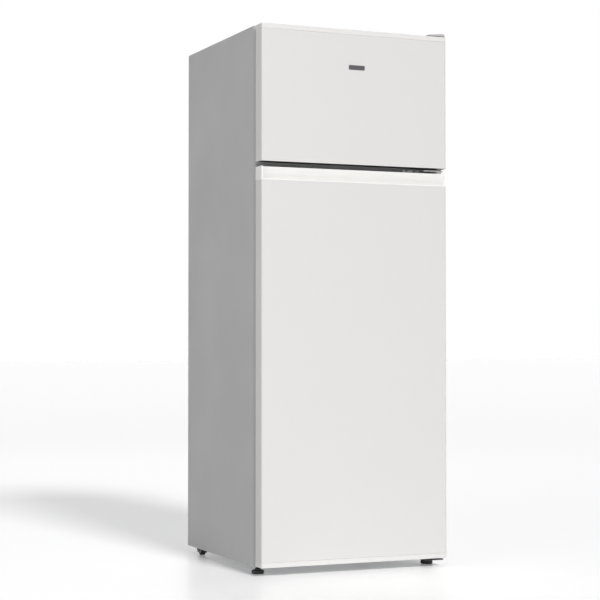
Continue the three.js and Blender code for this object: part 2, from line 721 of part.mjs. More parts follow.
function buildControls() {
  const housing = { x: [-95, 95], y: [shelfFront + 20, shelfFront + 190], drop: 38 };
  const top = fridgeCeiling - clearance;
  const low = top - housing.drop;
  const wall = 2;
  const knob = { x: -52, y: housing.y[0] + 60, radius: 18 };
  const window = { x: [8, 82], y: [housing.y[0] + 18, housing.y[0] + 118] };
  const bodyShape = roundedRect(housing.x, housing.y, 10);
  const innerShape = roundedRect(shrunk(housing.x, wall), shrunk(housing.y, wall), 8);
  const floorCut = [low - 1, low + wall + 1];
  const body = prismZ(bodyShape, [low, top])
    .subtract(prismZ(innerShape, [low + wall, top + 1]))
    .subtract(rodZ(knob.x, knob.y, 5, floorCut, 16))
    .subtract(block(shrunk(window.x, 4), shrunk(window.y, 4), floorCut));
  piece('control_housing', body, 'whitePlastic');
  const dial = turned(knob.x, knob.y, low - clearance, [
    [0, -15], [15, -15], [knob.radius, -12], [knob.radius, 0], [4.5, 0], [4.5, 14], [0, 14]], 24)
    .add(block([knob.x - 2.5, knob.x + 2.5], [knob.y - 16, knob.y + 16],
      [low - clearance - 19, low - clearance - 12]));
  piece('thermostat_knob', dial, 'greyPlastic');
  const lens = 1.6;
  const cover = prismZ(roundedRect(window.x, window.y, 8), [low - 12, low - clearance])
    .subtract(prismZ(roundedRect(shrunk(window.x, lens), shrunk(window.y, lens), 8 - lens),
      [low - 12 + lens, low]));
  piece('lamp_cover', cover, 'clearPlastic');
  const lampY = (window.y[0] + window.y[1]) / 2;
  const bulb = turned(0, 0, 0, [
    [0, 0], [7, 0], [7, 18], [8, 20], [11, 30], [12, 38], [10, 46], [6, 50], [0, 52]], 16)
    .rotate([0, 90, 0]).translate([window.x[0] + 6, lampY, low + 17]);
  piece('lamp_bulb', bulb, 'glass');
}

// ---------------------------------------------------------------- doors
/** Plan outline of a door in (x, y), moved in by inset. */
function doorPlan(inset) {
  const shape = new THREE.Shape();
  const side = half - inset;
  const front = doorFront + inset;
  const back = doorRear - inset;
  const openRadius = Math.max(openSideRadius - inset, 0.5);
  const hingeRadius = Math.max(hingeSideRadius - inset, 0.5);
  shape.moveTo(side, back);
  shape.lineTo(-side, back);
  shape.lineTo(-side, front + openRadius);
  shape.absarc(-side + openRadius, front + openRadius, openRadius, Math.PI, 1.5 * Math.PI, false);
  shape.absarc(side - hingeRadius, front + hingeRadius, hingeRadius, 1.5 * Math.PI, 2 * Math.PI, false);
  shape.closePath();
  return shape;
}

/** Folded door sheet: front, two sides and returns at the rear. */
function doorSheetShell([low, high]) {
  const through = [low - 1, high + 1];
  const gapSide = half - doorReturn;
  return prismZ(doorPlan(0), [low, high])
    .subtract(prismZ(doorPlan(doorSheet), through))
    .subtract(block([-gapSide, gapSide], [doorRear - 2, doorRear + 1], through));
}

/** Frame between two rectangles in (x, z), carried from y0 to y1. */
function frameY(side, [low, high], band, [y0, y1], radius) {
  const outer = prismY(roundedRect([-side, side], [low, high], radius), [y0, y1]);
  const hole = roundedRect([-side + band, side - band], [low + band, high - band],
    Math.max(radius - band, 1));
  return outer.subtract(prismY(hole, [y0 - 1, y1 + 1]));
}

/** Tray-shaped end cap that opens upwards or downwards, with a bush for the hinge pin. */
function endCap(inset, [low, high], opensUp) {
  const pocket = opensUp ? [low + capWall, high + 1] : [low - 1, high - capWall];
  return prismZ(doorPlan(inset), [low, high])
    .subtract(prismZ(doorPlan(inset + capWall), pocket))
    .add(rodZ(hingeX, hingeY, bushRadius, [low, high], 16))
    .subtract(rodZ(hingeX, hingeY, pinRadius + boreClearance, [low - 1, high + 1], 16));
}

/** Inner door moulding: flat plate with a hollow ridge that stands into the room. */
function doorLiner([low, high], side, [dykeLow, dykeHigh]) {
  const plateSide = half - doorReturn - clearance;
  const skin = dykeWall;
  const plate = block([-plateSide, plateSide], [doorRear - skin, doorRear], [low, high]);
  const ridge = frameY(side, [dykeLow, dykeHigh], dykeWidth, [doorRear - skin, doorRear + dykeRise], 14);
  const hollow = frameY(side - skin, [dykeLow + skin, dykeHigh - skin], dykeWidth - 2 * skin,
    [doorRear - skin - 1, doorRear + dykeRise - skin], 12);
  return plate.add(ridge).subtract(hollow);
}

/** Insulation that fills the ridge of a door liner. */
function ridgeFoam(side, [dykeLow, dykeHigh]) {
  const skin = dykeWall + clearance;
  return frameY(side - skin, [dykeLow + skin, dykeHigh - skin], dykeWidth - 2 * skin,
    [doorRear - dykeWall - 1, doorRear + dykeRise - skin], 12);
}

function gasket([low, high]) {
  const front = doorRear + clearance;
  return frameY(half - gasketSideInset, [low, high], gasketWidth, [front, cabinetFront - clearance], 4);
}

/** Open box that hangs between the ridges of a door. */
function doorBin(name, dykeSide, low, frontHeight, backHeight, reach) {
  const side = dykeSide - dykeWidth - 0.5;
  const front = doorRear + clearance;
  const back = doorRear + reach;
  const wall = binWall;
  const section = outline([
    [front, low], [back - 6, low], [back, low + 6], [back, low + frontHeight],
    [front + 30, low + backHeight], [front, low + backHeight]]);
  const inside = outline([
    [front + wall, low + wall], [back - 6, low + wall], [back - wall, low + 6 + wall],
    [back - wall, low + backHeight + 40], [front + wall, low + backHeight + 40]]);
  const tub = prismX(section, [-side, side]).subtract(prismX(inside, [-side + wall, side - wall]));
  piece(name, tub, 'clearPlastic');
}

function buildFreezerDoor() {
  const low = freezerDoorBottom;
  const high = freezerDoorTop;
  const capLow = high - capHeight;
  const sheetEdge = capLow - clearance;
  const innerCapInset = doorSheet + clearance;
  const linerLow = low + capHeight + 2 * clearance;
  const linerHigh = sheetEdge;
  const dykeSide = freezerHalf - dykeSideGap;
  const dyke = [freezerFloor + dykeEndGap, freezerCeiling - dykeEndGap];
  piece('freezer_door_panel', doorSheetShell([low, sheetEdge]), 'whiteSheet');
  piece('freezer_door_top_cap', endCap(0, [capLow, high], false), 'whitePlastic');
  const bottomCap = endCap(innerCapInset, [low + clearance, low + capHeight], true);
  piece('freezer_door_bottom_cap', bottomCap, 'blackPlastic');
  const bushRoom = bushRadius + clearance;
  const foam = prismZ(doorPlan(innerCapInset), [linerLow, sheetEdge])
    .subtract(block([-half, half], [doorRear - dykeWall - clearance, doorRear + 1], [low, high]))
    .add(prismZ(doorPlan(innerCapInset + capWall + clearance), [low + capWall + 2 * clearance, linerLow + 1]))
    .add(prismZ(doorPlan(capWall + clearance), [sheetEdge - 1, high - capWall - clearance]))
    .add(ridgeFoam(dykeSide, dyke))
    .subtract(rodZ(hingeX, hingeY, bushRoom, [low - 1, low + capHeight + clearance], 16))
    .subtract(rodZ(hingeX, hingeY, bushRoom, [capLow - clearance, high + 1], 16));
  piece('freezer_door_foam', foam, 'foam');
  piece('freezer_door_liner', doorLiner([linerLow, linerHigh], dykeSide, dyke), 'linerPlastic');
  piece('freezer_door_gasket', gasket([low + gasketEndInset, high - gasketOuterInset]), 'gasket');
  const binLow = dyke[0] + dykeWidth + 2;
  doorBin('freezer_door_bin_lower', dykeSide, binLow, 46, 62, binReach - 8);
  doorBin('freezer_door_bin_upper', dykeSide, binLow + freezerBinPitch, 46, 62, binReach - 8);
  const badgeLow = high - 106;
  const badge = prismY(roundedRect([-22, 24], [badgeLow, badgeLow + 12], 2),
    [doorFront - clearance - badgeThickness, doorFront - clearance], 3);
  piece('badge', badge, 'greyPlastic');
}

/** Section of the finger recess in (y, z): lip, trough and leaning back wall, open to the front. */
function coveSection(grow) {
  const top = fridgeDoorTop;
  const lipTop = top - coveHeight;
  const trough = lipTop - troughDrop;
  const deep = doorFront + coveDepth + grow;
  const lipRear = doorFront + lipThickness;
  const shape = new THREE.Shape();
  shape.moveTo(doorFront - 5, lipTop);
  shape.lineTo(lipRear - 1.5, lipTop);
  shape.quadraticCurveTo(lipRear, lipTop, lipRear, lipTop - 1.5);
  shape.lineTo(lipRear, trough + 4 - grow);
  shape.quadraticCurveTo(lipRear, trough - grow, lipRear + 5, trough - grow);
  shape.lineTo(deep - 8, trough - grow);
  shape.quadraticCurveTo(deep, trough - grow, deep, trough + 8);
  shape.quadraticCurveTo(deep - 1, lipTop + 14, doorFront + coveSetback + grow, top + 1);
  shape.lineTo(doorFront - 5, top + 1);
  shape.closePath();
  return shape;
}

function buildFridgeDoor() {
  const low = fridgeDoorBottom;
  const high = fridgeDoorTop;
  const capHigh = low + capHeight;
  const seam = high - coveHeight - lipHeight;
  const troughLow = high - coveHeight - troughDrop - 2.5;
  const inset = doorSheet + clearance;
  const sheet = [capHigh + clearance, seam];
  const dykeSide = fridgeHalf - dykeSideGap;
  const dyke = [fridgeFloor + dykeEndGap, fridgeCeiling - dykeEndGap];
  piece('fridge_door_panel', doorSheetShell(sheet), 'whiteSheet');
  piece('fridge_door_bottom_cap', endCap(0, [low, capHigh], true), 'whitePlastic');

  const troughBack = doorFront + coveDepth + 2.5;
  const troughBody = prismZ(doorPlan(inset), [troughLow, seam + 1])
    .intersect(block([-half, half], [doorFront, troughBack], [troughLow - 1, seam + 2]));
  const pocketSide = half - capWall;
  const pocketRight = hingeX - bushRadius - 6;
  const pocket = block([-pocketSide, pocketRight], [troughBack, doorRear - capWall], [seam - 1, high - 2.5]);
  const cap = prismZ(doorPlan(0), [seam + clearance, high])
    .add(troughBody)
    .subtract(prismX(coveSection(0), [-half + coveEndWall, half + 1], 5))
    .subtract(pocket)
    .subtract(rodZ(hingeX, hingeY, pinRadius + boreClearance, [high - pinReach - 3, high + 1], 16));
  piece('fridge_door_handle_cap', cap, 'whitePlastic');

  const rise = [seam - 1, high - 2.5 - clearance];
  const foam = prismZ(doorPlan(inset), [capHigh + clearance, seam - clearance])
    .subtract(block([-half, half], [doorFront - 1, troughBack + clearance], [troughLow - clearance, high]))
    .subtract(block([-half, half], [doorRear - dykeWall - clearance, doorRear + 1], [low, high]))
    .add(prismZ(doorPlan(capWall + clearance), [low + capWall + clearance, capHigh + 1]))
    .add(block([-pocketSide + clearance, pocketRight - clearance],
      [troughBack + clearance, doorRear - capWall - clearance], rise))
    .add(ridgeFoam(dykeSide, dyke))
    .subtract(rodZ(hingeX, hingeY, bushRadius + clearance, [low - 1, capHigh + clearance], 16));
  piece('fridge_door_foam', foam, 'foam');
  const linerSpan = [capHigh + clearance, seam - clearance];
  piece('fridge_door_liner', doorLiner(linerSpan, dykeSide, dyke), 'linerPlastic');
  piece('fridge_door_gasket', gasket([low + gasketOuterInset, high - gasketEndInset]), 'gasket');
  doorBin('fridge_door_bin_lower', dykeSide, dyke[0] + dykeWidth + 2, 70, 110, binReach);
  doorBin('fridge_door_bin_middle', dykeSide, middleShelfHeight - 60, 50, 76, binReach - 8);
  doorBin('fridge_door_bin_upper', dykeSide, upperShelfHeight - 20, 50, 76, binReach - 8);
}

// ---------------------------------------------------------------- hinges and feet
function buildHinges() {
  const plateRight = half - 4;
  const top = cabinetTop + clearance;
  const reachBack = cabinetFront + 80;
  const topPlate = prismZ(roundedRect([plateRight - 44, plateRight], [plateFront, reachBack], 8),
    [top, top + hingePlate])
    .add(rodZ(hingeX, hingeY, pinRadius, [freezerDoorTop - pinReach, top + 1], 16));
  piece('top_hinge', topPlate, 'hingeSteel');

  const coverWall = 1.5;
  const coverSide = [plateRight - 44 - coverWall - 1, half - 1.5];
  const coverSection = (inset) => outline([
    [coverSide[0] + inset, top - (inset ? 1 : 0)], [coverSide[1] - inset, top - (inset ? 1 : 0)],
    [coverSide[1] - inset, top + 6.7 - inset], [coverSide[1] - 3, top + 8.7 - inset],
    [coverSide[1] - 10, top + 8.4 - inset], [coverSide[0] + inset, top + 4.4 - inset]]);
  const cover = prismY(coverSection(0), [plateFront - 2.5, reachBack + 3])
    .subtract(prismY(coverSection(coverWall), [plateFront - 1, reachBack + 1.5]));
  piece('top_hinge_cover', cover, 'greyPlastic');

  const blade = [middlePlateBottom, middlePlateBottom + hingeBlade];
  const seat = cabinetFront - clearance;
  const middle = prismZ(roundedRect([plateRight - 60, plateRight], [plateFront, seat], 8), blade)
    .add(block([plateRight - 60, plateRight], [seat - 12, seat], blade))
    .add(block([plateRight - 106, plateRight - 4], [seat - hingeBlade, seat],
      [fridgeDoorTop + 0.7, freezerDoorBottom - 0.7]))
    .add(rodZ(hingeX, hingeY, pinRadius, [fridgeDoorTop - pinReach, freezerDoorBottom + pinReach], 16));
  piece('middle_hinge', middle, 'hingeSteel');

  const under = [baseGap - clearance - hingeBlade, baseGap - clearance];
  const footX = half - footInset;
  const footY = doorFront + footSetback;
  const bottom = prismZ(roundedRect([plateRight - 60, plateRight], [plateFront, footY + 40], 8), under)
    .add(rodZ(hingeX, hingeY, pinRadius, [under[0], fridgeDoorBottom + pinReach], 16))
    .subtract(rodZ(footX, footY, footStem + 1.5, [under[0] - 1, under[1] + 1], 16));
  piece('bottom_hinge', bottom, 'blackSteel');
}

function buildFeet() {
  const y = doorFront + footSetback;
  const stemTop = baseGap + 34;
  for (const [label, side] of [['left', -1], ['right', 1]]) {
    const foot = turned(side * (half - footInset), y, 0, [
      [0, 0], [footRadius - 1.5, 0], [footRadius, 1.5], [footRadius, footHeight - 2],
      [footRadius - 2, footHeight], [footStem + 3, footHeight], [footStem + 3, footHeight + 4],
      [footStem, footHeight + 4], [footStem, stemTop], [0, stemTop]], 24);
    piece(`front_${label}_foot`, foot, 'blackPlastic');
  }
}

buildSidePanels();
buildTopPanel();
buildBackPanel();
buildBottomPlate(buildFrontBaseRail());
buildFoam();
buildFreezerLiner();
buildFridgeLiner();
buildMullionCover();
buildEvaporators();
buildCompressorBase();
buildRollers();
buildCompressor();
buildDripTray();
buildPiping();
buildShelves();
buildCrisperDrawer();
buildControls();
buildFreezerDoor();
buildFridgeDoor();
buildHinges();
buildFeet();

export default refrigerator;
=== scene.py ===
"""Top freezer refrigerator: finished surfaces, materials, light and camera round its fixed frame.

Shapes are worked out in millimetres (X right, Y back, Z up) and are turned to metres as a mesh is made.
"""
import math

import bpy
import numpy as np
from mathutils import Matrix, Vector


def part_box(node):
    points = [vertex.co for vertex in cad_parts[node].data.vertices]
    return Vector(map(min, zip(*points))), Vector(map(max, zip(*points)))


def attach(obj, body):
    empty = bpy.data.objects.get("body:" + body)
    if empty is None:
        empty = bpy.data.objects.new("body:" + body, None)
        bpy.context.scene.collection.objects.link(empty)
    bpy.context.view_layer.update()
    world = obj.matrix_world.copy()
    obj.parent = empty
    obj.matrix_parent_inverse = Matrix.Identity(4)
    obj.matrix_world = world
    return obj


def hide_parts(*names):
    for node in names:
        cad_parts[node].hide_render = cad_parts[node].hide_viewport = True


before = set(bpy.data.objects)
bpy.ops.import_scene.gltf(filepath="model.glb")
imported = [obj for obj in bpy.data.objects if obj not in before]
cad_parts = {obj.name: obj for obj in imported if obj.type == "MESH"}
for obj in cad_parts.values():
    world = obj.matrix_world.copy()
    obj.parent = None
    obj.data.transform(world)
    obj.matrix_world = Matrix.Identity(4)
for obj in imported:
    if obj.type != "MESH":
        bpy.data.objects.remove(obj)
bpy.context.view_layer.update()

# ------------------------------------------------------------------ camera and light
KEY_AZIMUTH, KEY_ELEVATION, KEY_POWER = 5, 34, 2.35
TOP_POWER, LEFT_POWER, REAR_POWER = 0.3, 20, 10
FLOOR_GLOW = 0.2
WORLD_AXIS, WORLD_LOW, WORLD_HIGH = (0.5, -0.1, 0.86), 0.02, 0.14


def build_camera():
    data = bpy.data.cameras.new("camera")
    data.lens, data.sensor_width = 99.78, 36
    camera = bpy.data.objects.new("camera", data)
    camera.location = (-1.8722, -4.2443, 0.6103)
    camera.rotation_euler = [math.radians(angle) for angle in (91.367, 0, -23.338)]
    bpy.context.scene.collection.objects.link(camera)
    bpy.context.scene.camera = camera


def lamp(name, kind, azimuth, elevation, distance, power, **settings):
    """Lamp that faces the cabinet's middle. Azimuth 0 is straight in front and 90 is to the right."""
    a, e = math.radians(azimuth), math.radians(elevation)
    back = np.array([math.sin(a) * math.cos(e), -math.cos(a) * math.cos(e), math.sin(e)])
    data = bpy.data.lights.new(name, kind)
    data.energy = power
    for key, value in settings.items():
        setattr(data, key, value)
    made = bpy.data.objects.new(name, data)
    made.location = np.array([0, 0, 0.72]) + back * distance
    made.rotation_euler = [math.pi / 2 - e, 0, a]
    bpy.context.scene.collection.objects.link(made)


def build_studio():
    """White tent: the walls look white in reflections and to the camera, but light the room mostly from
    above and the right. Strength grows with the dot product of a direction and a tilted axis."""
    lamp("key_light", "SUN", KEY_AZIMUTH, KEY_ELEVATION, 6, KEY_POWER, angle=math.radians(12))
    lamp("top_light", "SUN", 0, 90, 6, TOP_POWER, angle=math.radians(24))
    lamp("left_softbox", "AREA", -58, 14, 3.6, LEFT_POWER, size=1.6)
    lamp("rear_softbox", "AREA", 165, 30, 4.5, REAR_POWER, size=2.2)
    world = bpy.data.worlds.new("studio")
    world.use_nodes = True
    tree = world.node_tree
    tree.nodes.clear()
    way = add(tree, "ShaderNodeTexCoord")
    slant = add(tree, "ShaderNodeVectorMath", {"operation": "DOT_PRODUCT"},
                {0: (way, "Generated"), 1: WORLD_AXIS})
    strength = add(tree, "ShaderNodeMapRange", {},
                   {"Value": (slant, "Value"), "From Min": -0.3, "From Max": 1.0,
                    "To Min": WORLD_LOW, "To Max": WORLD_HIGH})
    lit = add(tree, "ShaderNodeBackground", {}, {"Color": linear("ffffff"), "Strength": (strength, 0)})
    seen = add(tree, "ShaderNodeBackground", {}, {"Color": linear("ffffff"), "Strength": 1.0})
    path = add(tree, "ShaderNodeLightPath")
    direct = add(tree, "ShaderNodeMath", {"operation": "MAXIMUM"},
                 {0: (path, "Is Camera Ray"), 1: (path, "Is Glossy Ray")})
    mixed = add(tree, "ShaderNodeMixShader", {}, {0: (direct, 0), 1: (lit, 0), 2: (seen, 0)})
    add(tree, "ShaderNodeOutputWorld", {}, {"Surface": (mixed, 0)})
    bpy.context.scene.world = world
    bpy.context.scene.view_settings.view_transform = "Standard"


# ------------------------------------------------------------------ material tools
def linear(colour):
    """sRGB hex to linear RGBA: c / 12.92 up to 0.04045, and ((c + 0.055) / 1.055) ** 2.4 above."""
    levels = np.array([int(colour[k:k + 2], 16) for k in (0, 2, 4)]) / 255
    curved = np.where(levels <= 0.04045, levels / 12.92, ((levels + 0.055) / 1.055) ** 2.4)
    return (*curved.tolist(), 1.0)


def add(tree, kind, settings=None, inputs=None):
    """Adds a node with its settings, and with each input a value or a link (node, output)."""
    made = tree.nodes.new(kind)
    for key, value in (settings or {}).items():
        setattr(made, key, value)
    for key, value in (inputs or {}).items():
        if isinstance(value, tuple) and isinstance(value[0], bpy.types.Node):
            tree.links.new(value[0].outputs[value[1]], made.inputs[key])
        else:
            made.inputs[key].default_value = value
    return made


def join(tree, node, output, target, key):
    tree.links.new(node.outputs[output], target.inputs[key])


def started(name, colour, roughness, **settings):
    """New material with one Principled shader: returns it, its tree, the shader and object coordinates."""
    material = bpy.data.materials.new(name)
    material.use_nodes = True
    tree = material.node_tree
    tree.nodes.clear()
    inputs = {"Base Color": linear(colour), "Roughness": roughness}
    for key, value in settings.items():
        inputs[key.replace("_", " ").title().replace("Ior", "IOR")] = value
    shader = add(tree, "ShaderNodeBsdfPrincipled", {}, inputs)
    add(tree, "ShaderNodeOutputMaterial", {}, {"Surface": (shader, 0)})
    place = add(tree, "ShaderNodeTexCoord")
    return material, tree, shader, place


def grained(name, colour, roughness, grain, depth, stain="", stain_size=160, stretch=(1, 1, 1), **settings):
    """Surface with a grain of bumps, grain mm wide and depth mm high, whose roughness wanders by a tenth and
    whose colour wanders towards stain over patches of stain_size mm. stretch draws the grain out."""
    material, tree, shader, place = started(name, colour, roughness, **settings)
    scaled = add(tree, "ShaderNodeMapping", {}, {"Vector": (place, "Object"), "Scale": stretch})
    fine = add(tree, "ShaderNodeTexNoise", {}, {"Vector": (scaled, 0), "Scale": 1000 / grain, "Detail": 2.0})
    bump = add(tree, "ShaderNodeBump", {}, {"Height": (fine, 0), "Distance": depth / 1000, "Strength": 1.0})
    join(tree, bump, 0, shader, "Normal")
    broad = add(tree, "ShaderNodeTexNoise", {},
                {"Vector": (place, "Object"), "Scale": 1000 / stain_size, "Detail": 3.0})
    gloss = add(tree, "ShaderNodeMapRange", {}, {"Value": (broad, 0), "From Min": 0.3, "From Max": 0.7,
                                                 "To Min": roughness * 0.9, "To Max": roughness * 1.1})
    join(tree, gloss, 0, shader, "Roughness")
    if stain:
        tint = add(tree, "ShaderNodeMix", {"data_type": "RGBA"},
                   {0: (broad, 0), 6: linear(colour), 7: linear(stain)})
        join(tree, tint, 2, shader, "Base Color")
    return material


# ------------------------------------------------------------------ the refrigerator's finishes
def pcm_door_sheet():
    """Pre-coated steel sheet, roller-coated and baked: even satin white with the faint ripple of the coating.
    The ripple is really 2 to 3 mm wide, and is drawn at 6 mm so that it shows in the sheen."""
    return grained("pre_coated_steel", "d5d3d2", 0.34, 6, 0.012, "d3d1d0", coat_weight=0.15,
                   coat_roughness=0.25, ior=1.5)


def powder_painted_cabinet_sheet():
    """Powder-painted steel, sprayed and baked: slightly rougher, with fine orange peel 4 mm across. Its grey,
    darker than the door sheet, is painted shade for the cabinet's shaded sides.
    """
    return grained("powder_painted_steel", "b9b9b9", 0.45, 4, 0.02, "b5b5b5", ior=1.5)


def moulded_white_abs():
    """ABS, injection-moulded in a satin tool: soft, even gloss over a fine spark-eroded grain of 1 mm."""
    return grained("moulded_abs", "dbdad8", 0.36, 1.2, 0.01, "d8d7d5", ior=1.53)


def grip_abs_with_painted_light():
    """The grip's ABS, moulded in a polished tool without grain: glossier than the caps, and lighter in colour
    as painted light for the light that the finger recess catches.
    """
    return grained("polished_abs_with_painted_light", "efeeec", 0.22, 30, 0.01, "ecebe9", ior=1.53)


def vacuum_formed_liner():
    """High-impact polystyrene, vacuum-formed: glossy white, with a drawn sheet's broad waves, 35 mm apart."""
    return grained("vacuum_formed_polystyrene", "f0f0ee", 0.24, 35, 0.12, "ecedeb", ior=1.59)


def clear_polystyrene():
    """Crystal polystyrene, injection-moulded: water-clear with a cold tint, and flow ripples 18 mm apart."""
    return grained("crystal_polystyrene", "eef5f7", 0.06, 18, 0.05, transmission_weight=1.0, ior=1.59)


def frosted_polystyrene():
    """Prismatic polystyrene diffuser, etched in the tool: milky, so the bulb shows only as a glow."""
    return grained("frosted_polystyrene", "f4f6f5", 0.5, 1.5, 0.03, transmission_weight=0.75, ior=1.59)


def toughened_glass():
    """Float glass, toughened and ground at the edges: clear, with a faint green."""
    return grained("toughened_glass", "e4f2ec", 0.03, 60, 0.02, transmission_weight=1.0, ior=1.52)


def lamp_glass():
    """Blown soda-lime bulb with an inner frosting: white and faintly warm."""
    return grained("frosted_lamp_glass", "fff6e6", 0.4, 2, 0.01, transmission_weight=0.5, ior=1.52)


def grey_abs():
    """ABS, injection-moulded mid grey in a textured tool: matt, with a leather-like grain of 1.5 mm."""
    return grained("moulded_grey_abs", "b5b4b2", 0.5, 1.5, 0.03, "aeadab", ior=1.53)


def badge_plate():
    """Anodised aluminium plate, brushed along its length: dark grey, with lines 0.8 mm by 20 mm."""
    return grained("brushed_anodised_plate", "56565a", 0.4, 0.8, 0.01, "4e4e52", 20, (0.04, 1, 1),
                   metallic=0.6)


def black_polypropylene():
    """Polypropylene, moulded black: dull sheen over a coarse tool grain of 1.5 mm."""
    return grained("moulded_polypropylene", "1d1d1e", 0.52, 1.5, 0.04, "262627", 40, ior=1.49)


def gasket_vinyl():
    """Plasticised PVC, extruded: soft grey-white with a dry, slightly waxy sheen and a fine grain."""
    return grained("extruded_soft_vinyl", "c9c8c5", 0.58, 2, 0.02, "c2c1be", 90, ior=1.54)


def polyurethane_foam():
    """Rigid polyurethane, foamed in place: pale yellow, matt, with cells about 1 mm wide drawn at 3 mm."""
    material, tree, shader, place = started("rigid_polyurethane_foam", "e6d6a4", 0.95)
    cells = add(tree, "ShaderNodeTexVoronoi", {}, {"Vector": (place, "Object"), "Scale": 1000 / 3})
    bump = add(tree, "ShaderNodeBump", {}, {"Height": (cells, 0), "Distance": 0.0006, "Strength": 1.0})
    join(tree, bump, 0, shader, "Normal")
    tint = add(tree, "ShaderNodeMix", {"data_type": "RGBA"},
               {0: (cells, 0), 6: linear("ecdfb4"), 7: linear("c9b77f")})
    join(tree, tint, 2, shader, "Base Color")
    return material


def galvanised_sheet():
    """Hot-dip galvanised steel: grey metal broken into spangles about 12 mm wide, each with its own tone."""
    material, tree, shader, place = started("hot_dip_galvanised_steel", "a9acae", 0.42, metallic=0.9)
    spangle = add(tree, "ShaderNodeTexVoronoi", {}, {"Vector": (place, "Object"), "Scale": 1000 / 12})
    grey = add(tree, "ShaderNodeRGBToBW", {}, {0: (spangle, "Color")})
    tint = add(tree, "ShaderNodeMix", {"data_type": "RGBA"},
               {0: (grey, 0), 6: linear("989c9f"), 7: linear("b9bcbe")})
    join(tree, tint, 2, shader, "Base Color")
    gloss = add(tree, "ShaderNodeMapRange", {}, {"Value": (grey, 0), "To Min": 0.34, "To Max": 0.5})
    join(tree, gloss, 0, shader, "Roughness")
    return material


def zinc_plated_steel():
    """Pressed steel, zinc-plated: bright grey with a fine satin grain and slight clouding."""
    return grained("zinc_plated_steel", "bcbcba", 0.34, 0.8, 0.01, "aeaead", 25, metallic=0.85)


def black_lacquered_steel():
    """Drawn steel under black lacquer: deep black with a soft gloss and a fine spray texture."""
    return grained("black_lacquered_steel", "18191b", 0.36, 3, 0.02, "202124", 60, coat_weight=0.3, ior=1.5)


def drawn_copper():
    """Copper tube, drawn and handled: warm metal with a fine grain, darkened in patches by brazing."""
    return grained("drawn_copper", "c07a50", 0.3, 1.5, 0.01, "8f5334", 45, metallic=1.0)


def rolled_aluminium():
    """Roll-bonded aluminium plate: pale metal with fine rolling lines along its length."""
    return grained("rolled_aluminium", "c6c8ca", 0.4, 1.2, 0.01, "bcbec0", 80, (0.05, 1, 1), metallic=1.0)


FINISHES = {
    "door_sheet": pcm_door_sheet, "cabinet_sheet": powder_painted_cabinet_sheet,
    "white_plastic": moulded_white_abs, "grip_plastic": grip_abs_with_painted_light,
    "liner_plastic": vacuum_formed_liner, "clear_plastic": clear_polystyrene,
    "frosted_plastic": frosted_polystyrene,
    "shelf_glass": toughened_glass, "bulb_glass": lamp_glass, "grey_plastic": grey_abs,
    "badge_plastic": badge_plate, "black_plastic": black_polypropylene, "gasket_vinyl": gasket_vinyl,
    "insulation_foam": polyurethane_foam, "galvanised_sheet": galvanised_sheet,
    "hinge_steel": zinc_plated_steel, "black_steel": black_lacquered_steel, "copper_tube": drawn_copper,
    "aluminium_plate": rolled_aluminium,
}
materials = {slot: make() for slot, make in FINISHES.items()}

# ------------------------------------------------------------------ shape tools
TURNED_TO = {"x": (2, 0, 1), "y": (0, 2, 1), "z": (0, 1, 2)}   # columns of (u, v, height) that give x, y, z


def span(node):
    """A frame node's ranges along X, Y and Z, in millimetres."""
    low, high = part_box(node)
    return tuple((low[k] * 1000, high[k] * 1000) for k in range(3))


def fillet(points, radii, steps=6, closed=True):
    """Line through corner points, each corner rounded. With unit vectors u, v to its neighbours and half
    angle h between them, a corner's arc has its centre r / sin h along the bisector, and turns evenly from
    one touching point to the other: (sin((1 - t) w) a + sin(t w) b) / sin w, with w = pi - 2 h."""
    p = np.asarray(points, float)
    r = np.broadcast_to(np.asarray(radii, float), len(p))[:, None]
    u, v = np.roll(p, 1, 0) - p, np.roll(p, -1, 0) - p
    u /= np.linalg.norm(u, axis=1, keepdims=True)
    v /= np.linalg.norm(v, axis=1, keepdims=True)
    half = np.arccos(np.clip((u * v).sum(1, keepdims=True), -0.9999, 1)) / 2
    middle = (u + v) / np.linalg.norm(u + v, axis=1, keepdims=True)
    centre = p + middle * r / np.sin(half)
    a, b = p + u * r / np.tan(half) - centre, p + v * r / np.tan(half) - centre
    turn = (np.pi - 2 * half)[:, None]
    t = np.linspace(0, 1, steps + 1)[None, :, None]
    arcs = (np.sin((1 - t) * turn) * a[:, None] + np.sin(t * turn) * b[:, None]) / np.sin(turn)
    arcs += centre[:, None]
    if closed:
        return arcs.reshape(-1, p.shape[1])
    return np.concatenate([p[:1], arcs[1:-1].reshape(-1, p.shape[1]), p[-1:]])


def shifted(line, distance, closed=False):
    """2-D line moved to its left by d: p + d (n1 + n2) / (1 + n1 . n2), n1 and n2 its sides' normals."""
    ahead = np.roll(line, -1, 0) if closed else line[1:]
    step = ahead - (line if closed else line[:-1])
    normal = np.column_stack([-step[:, 1], step[:, 0]]) / np.linalg.norm(step, axis=1, keepdims=True)
    before = np.roll(normal, 1, 0) if closed else np.vstack([normal[:1], normal])
    after = normal if closed else np.vstack([normal, normal[-1:]])
    return line + distance * (before + after) / (1 + (before * after).sum(1, keepdims=True))


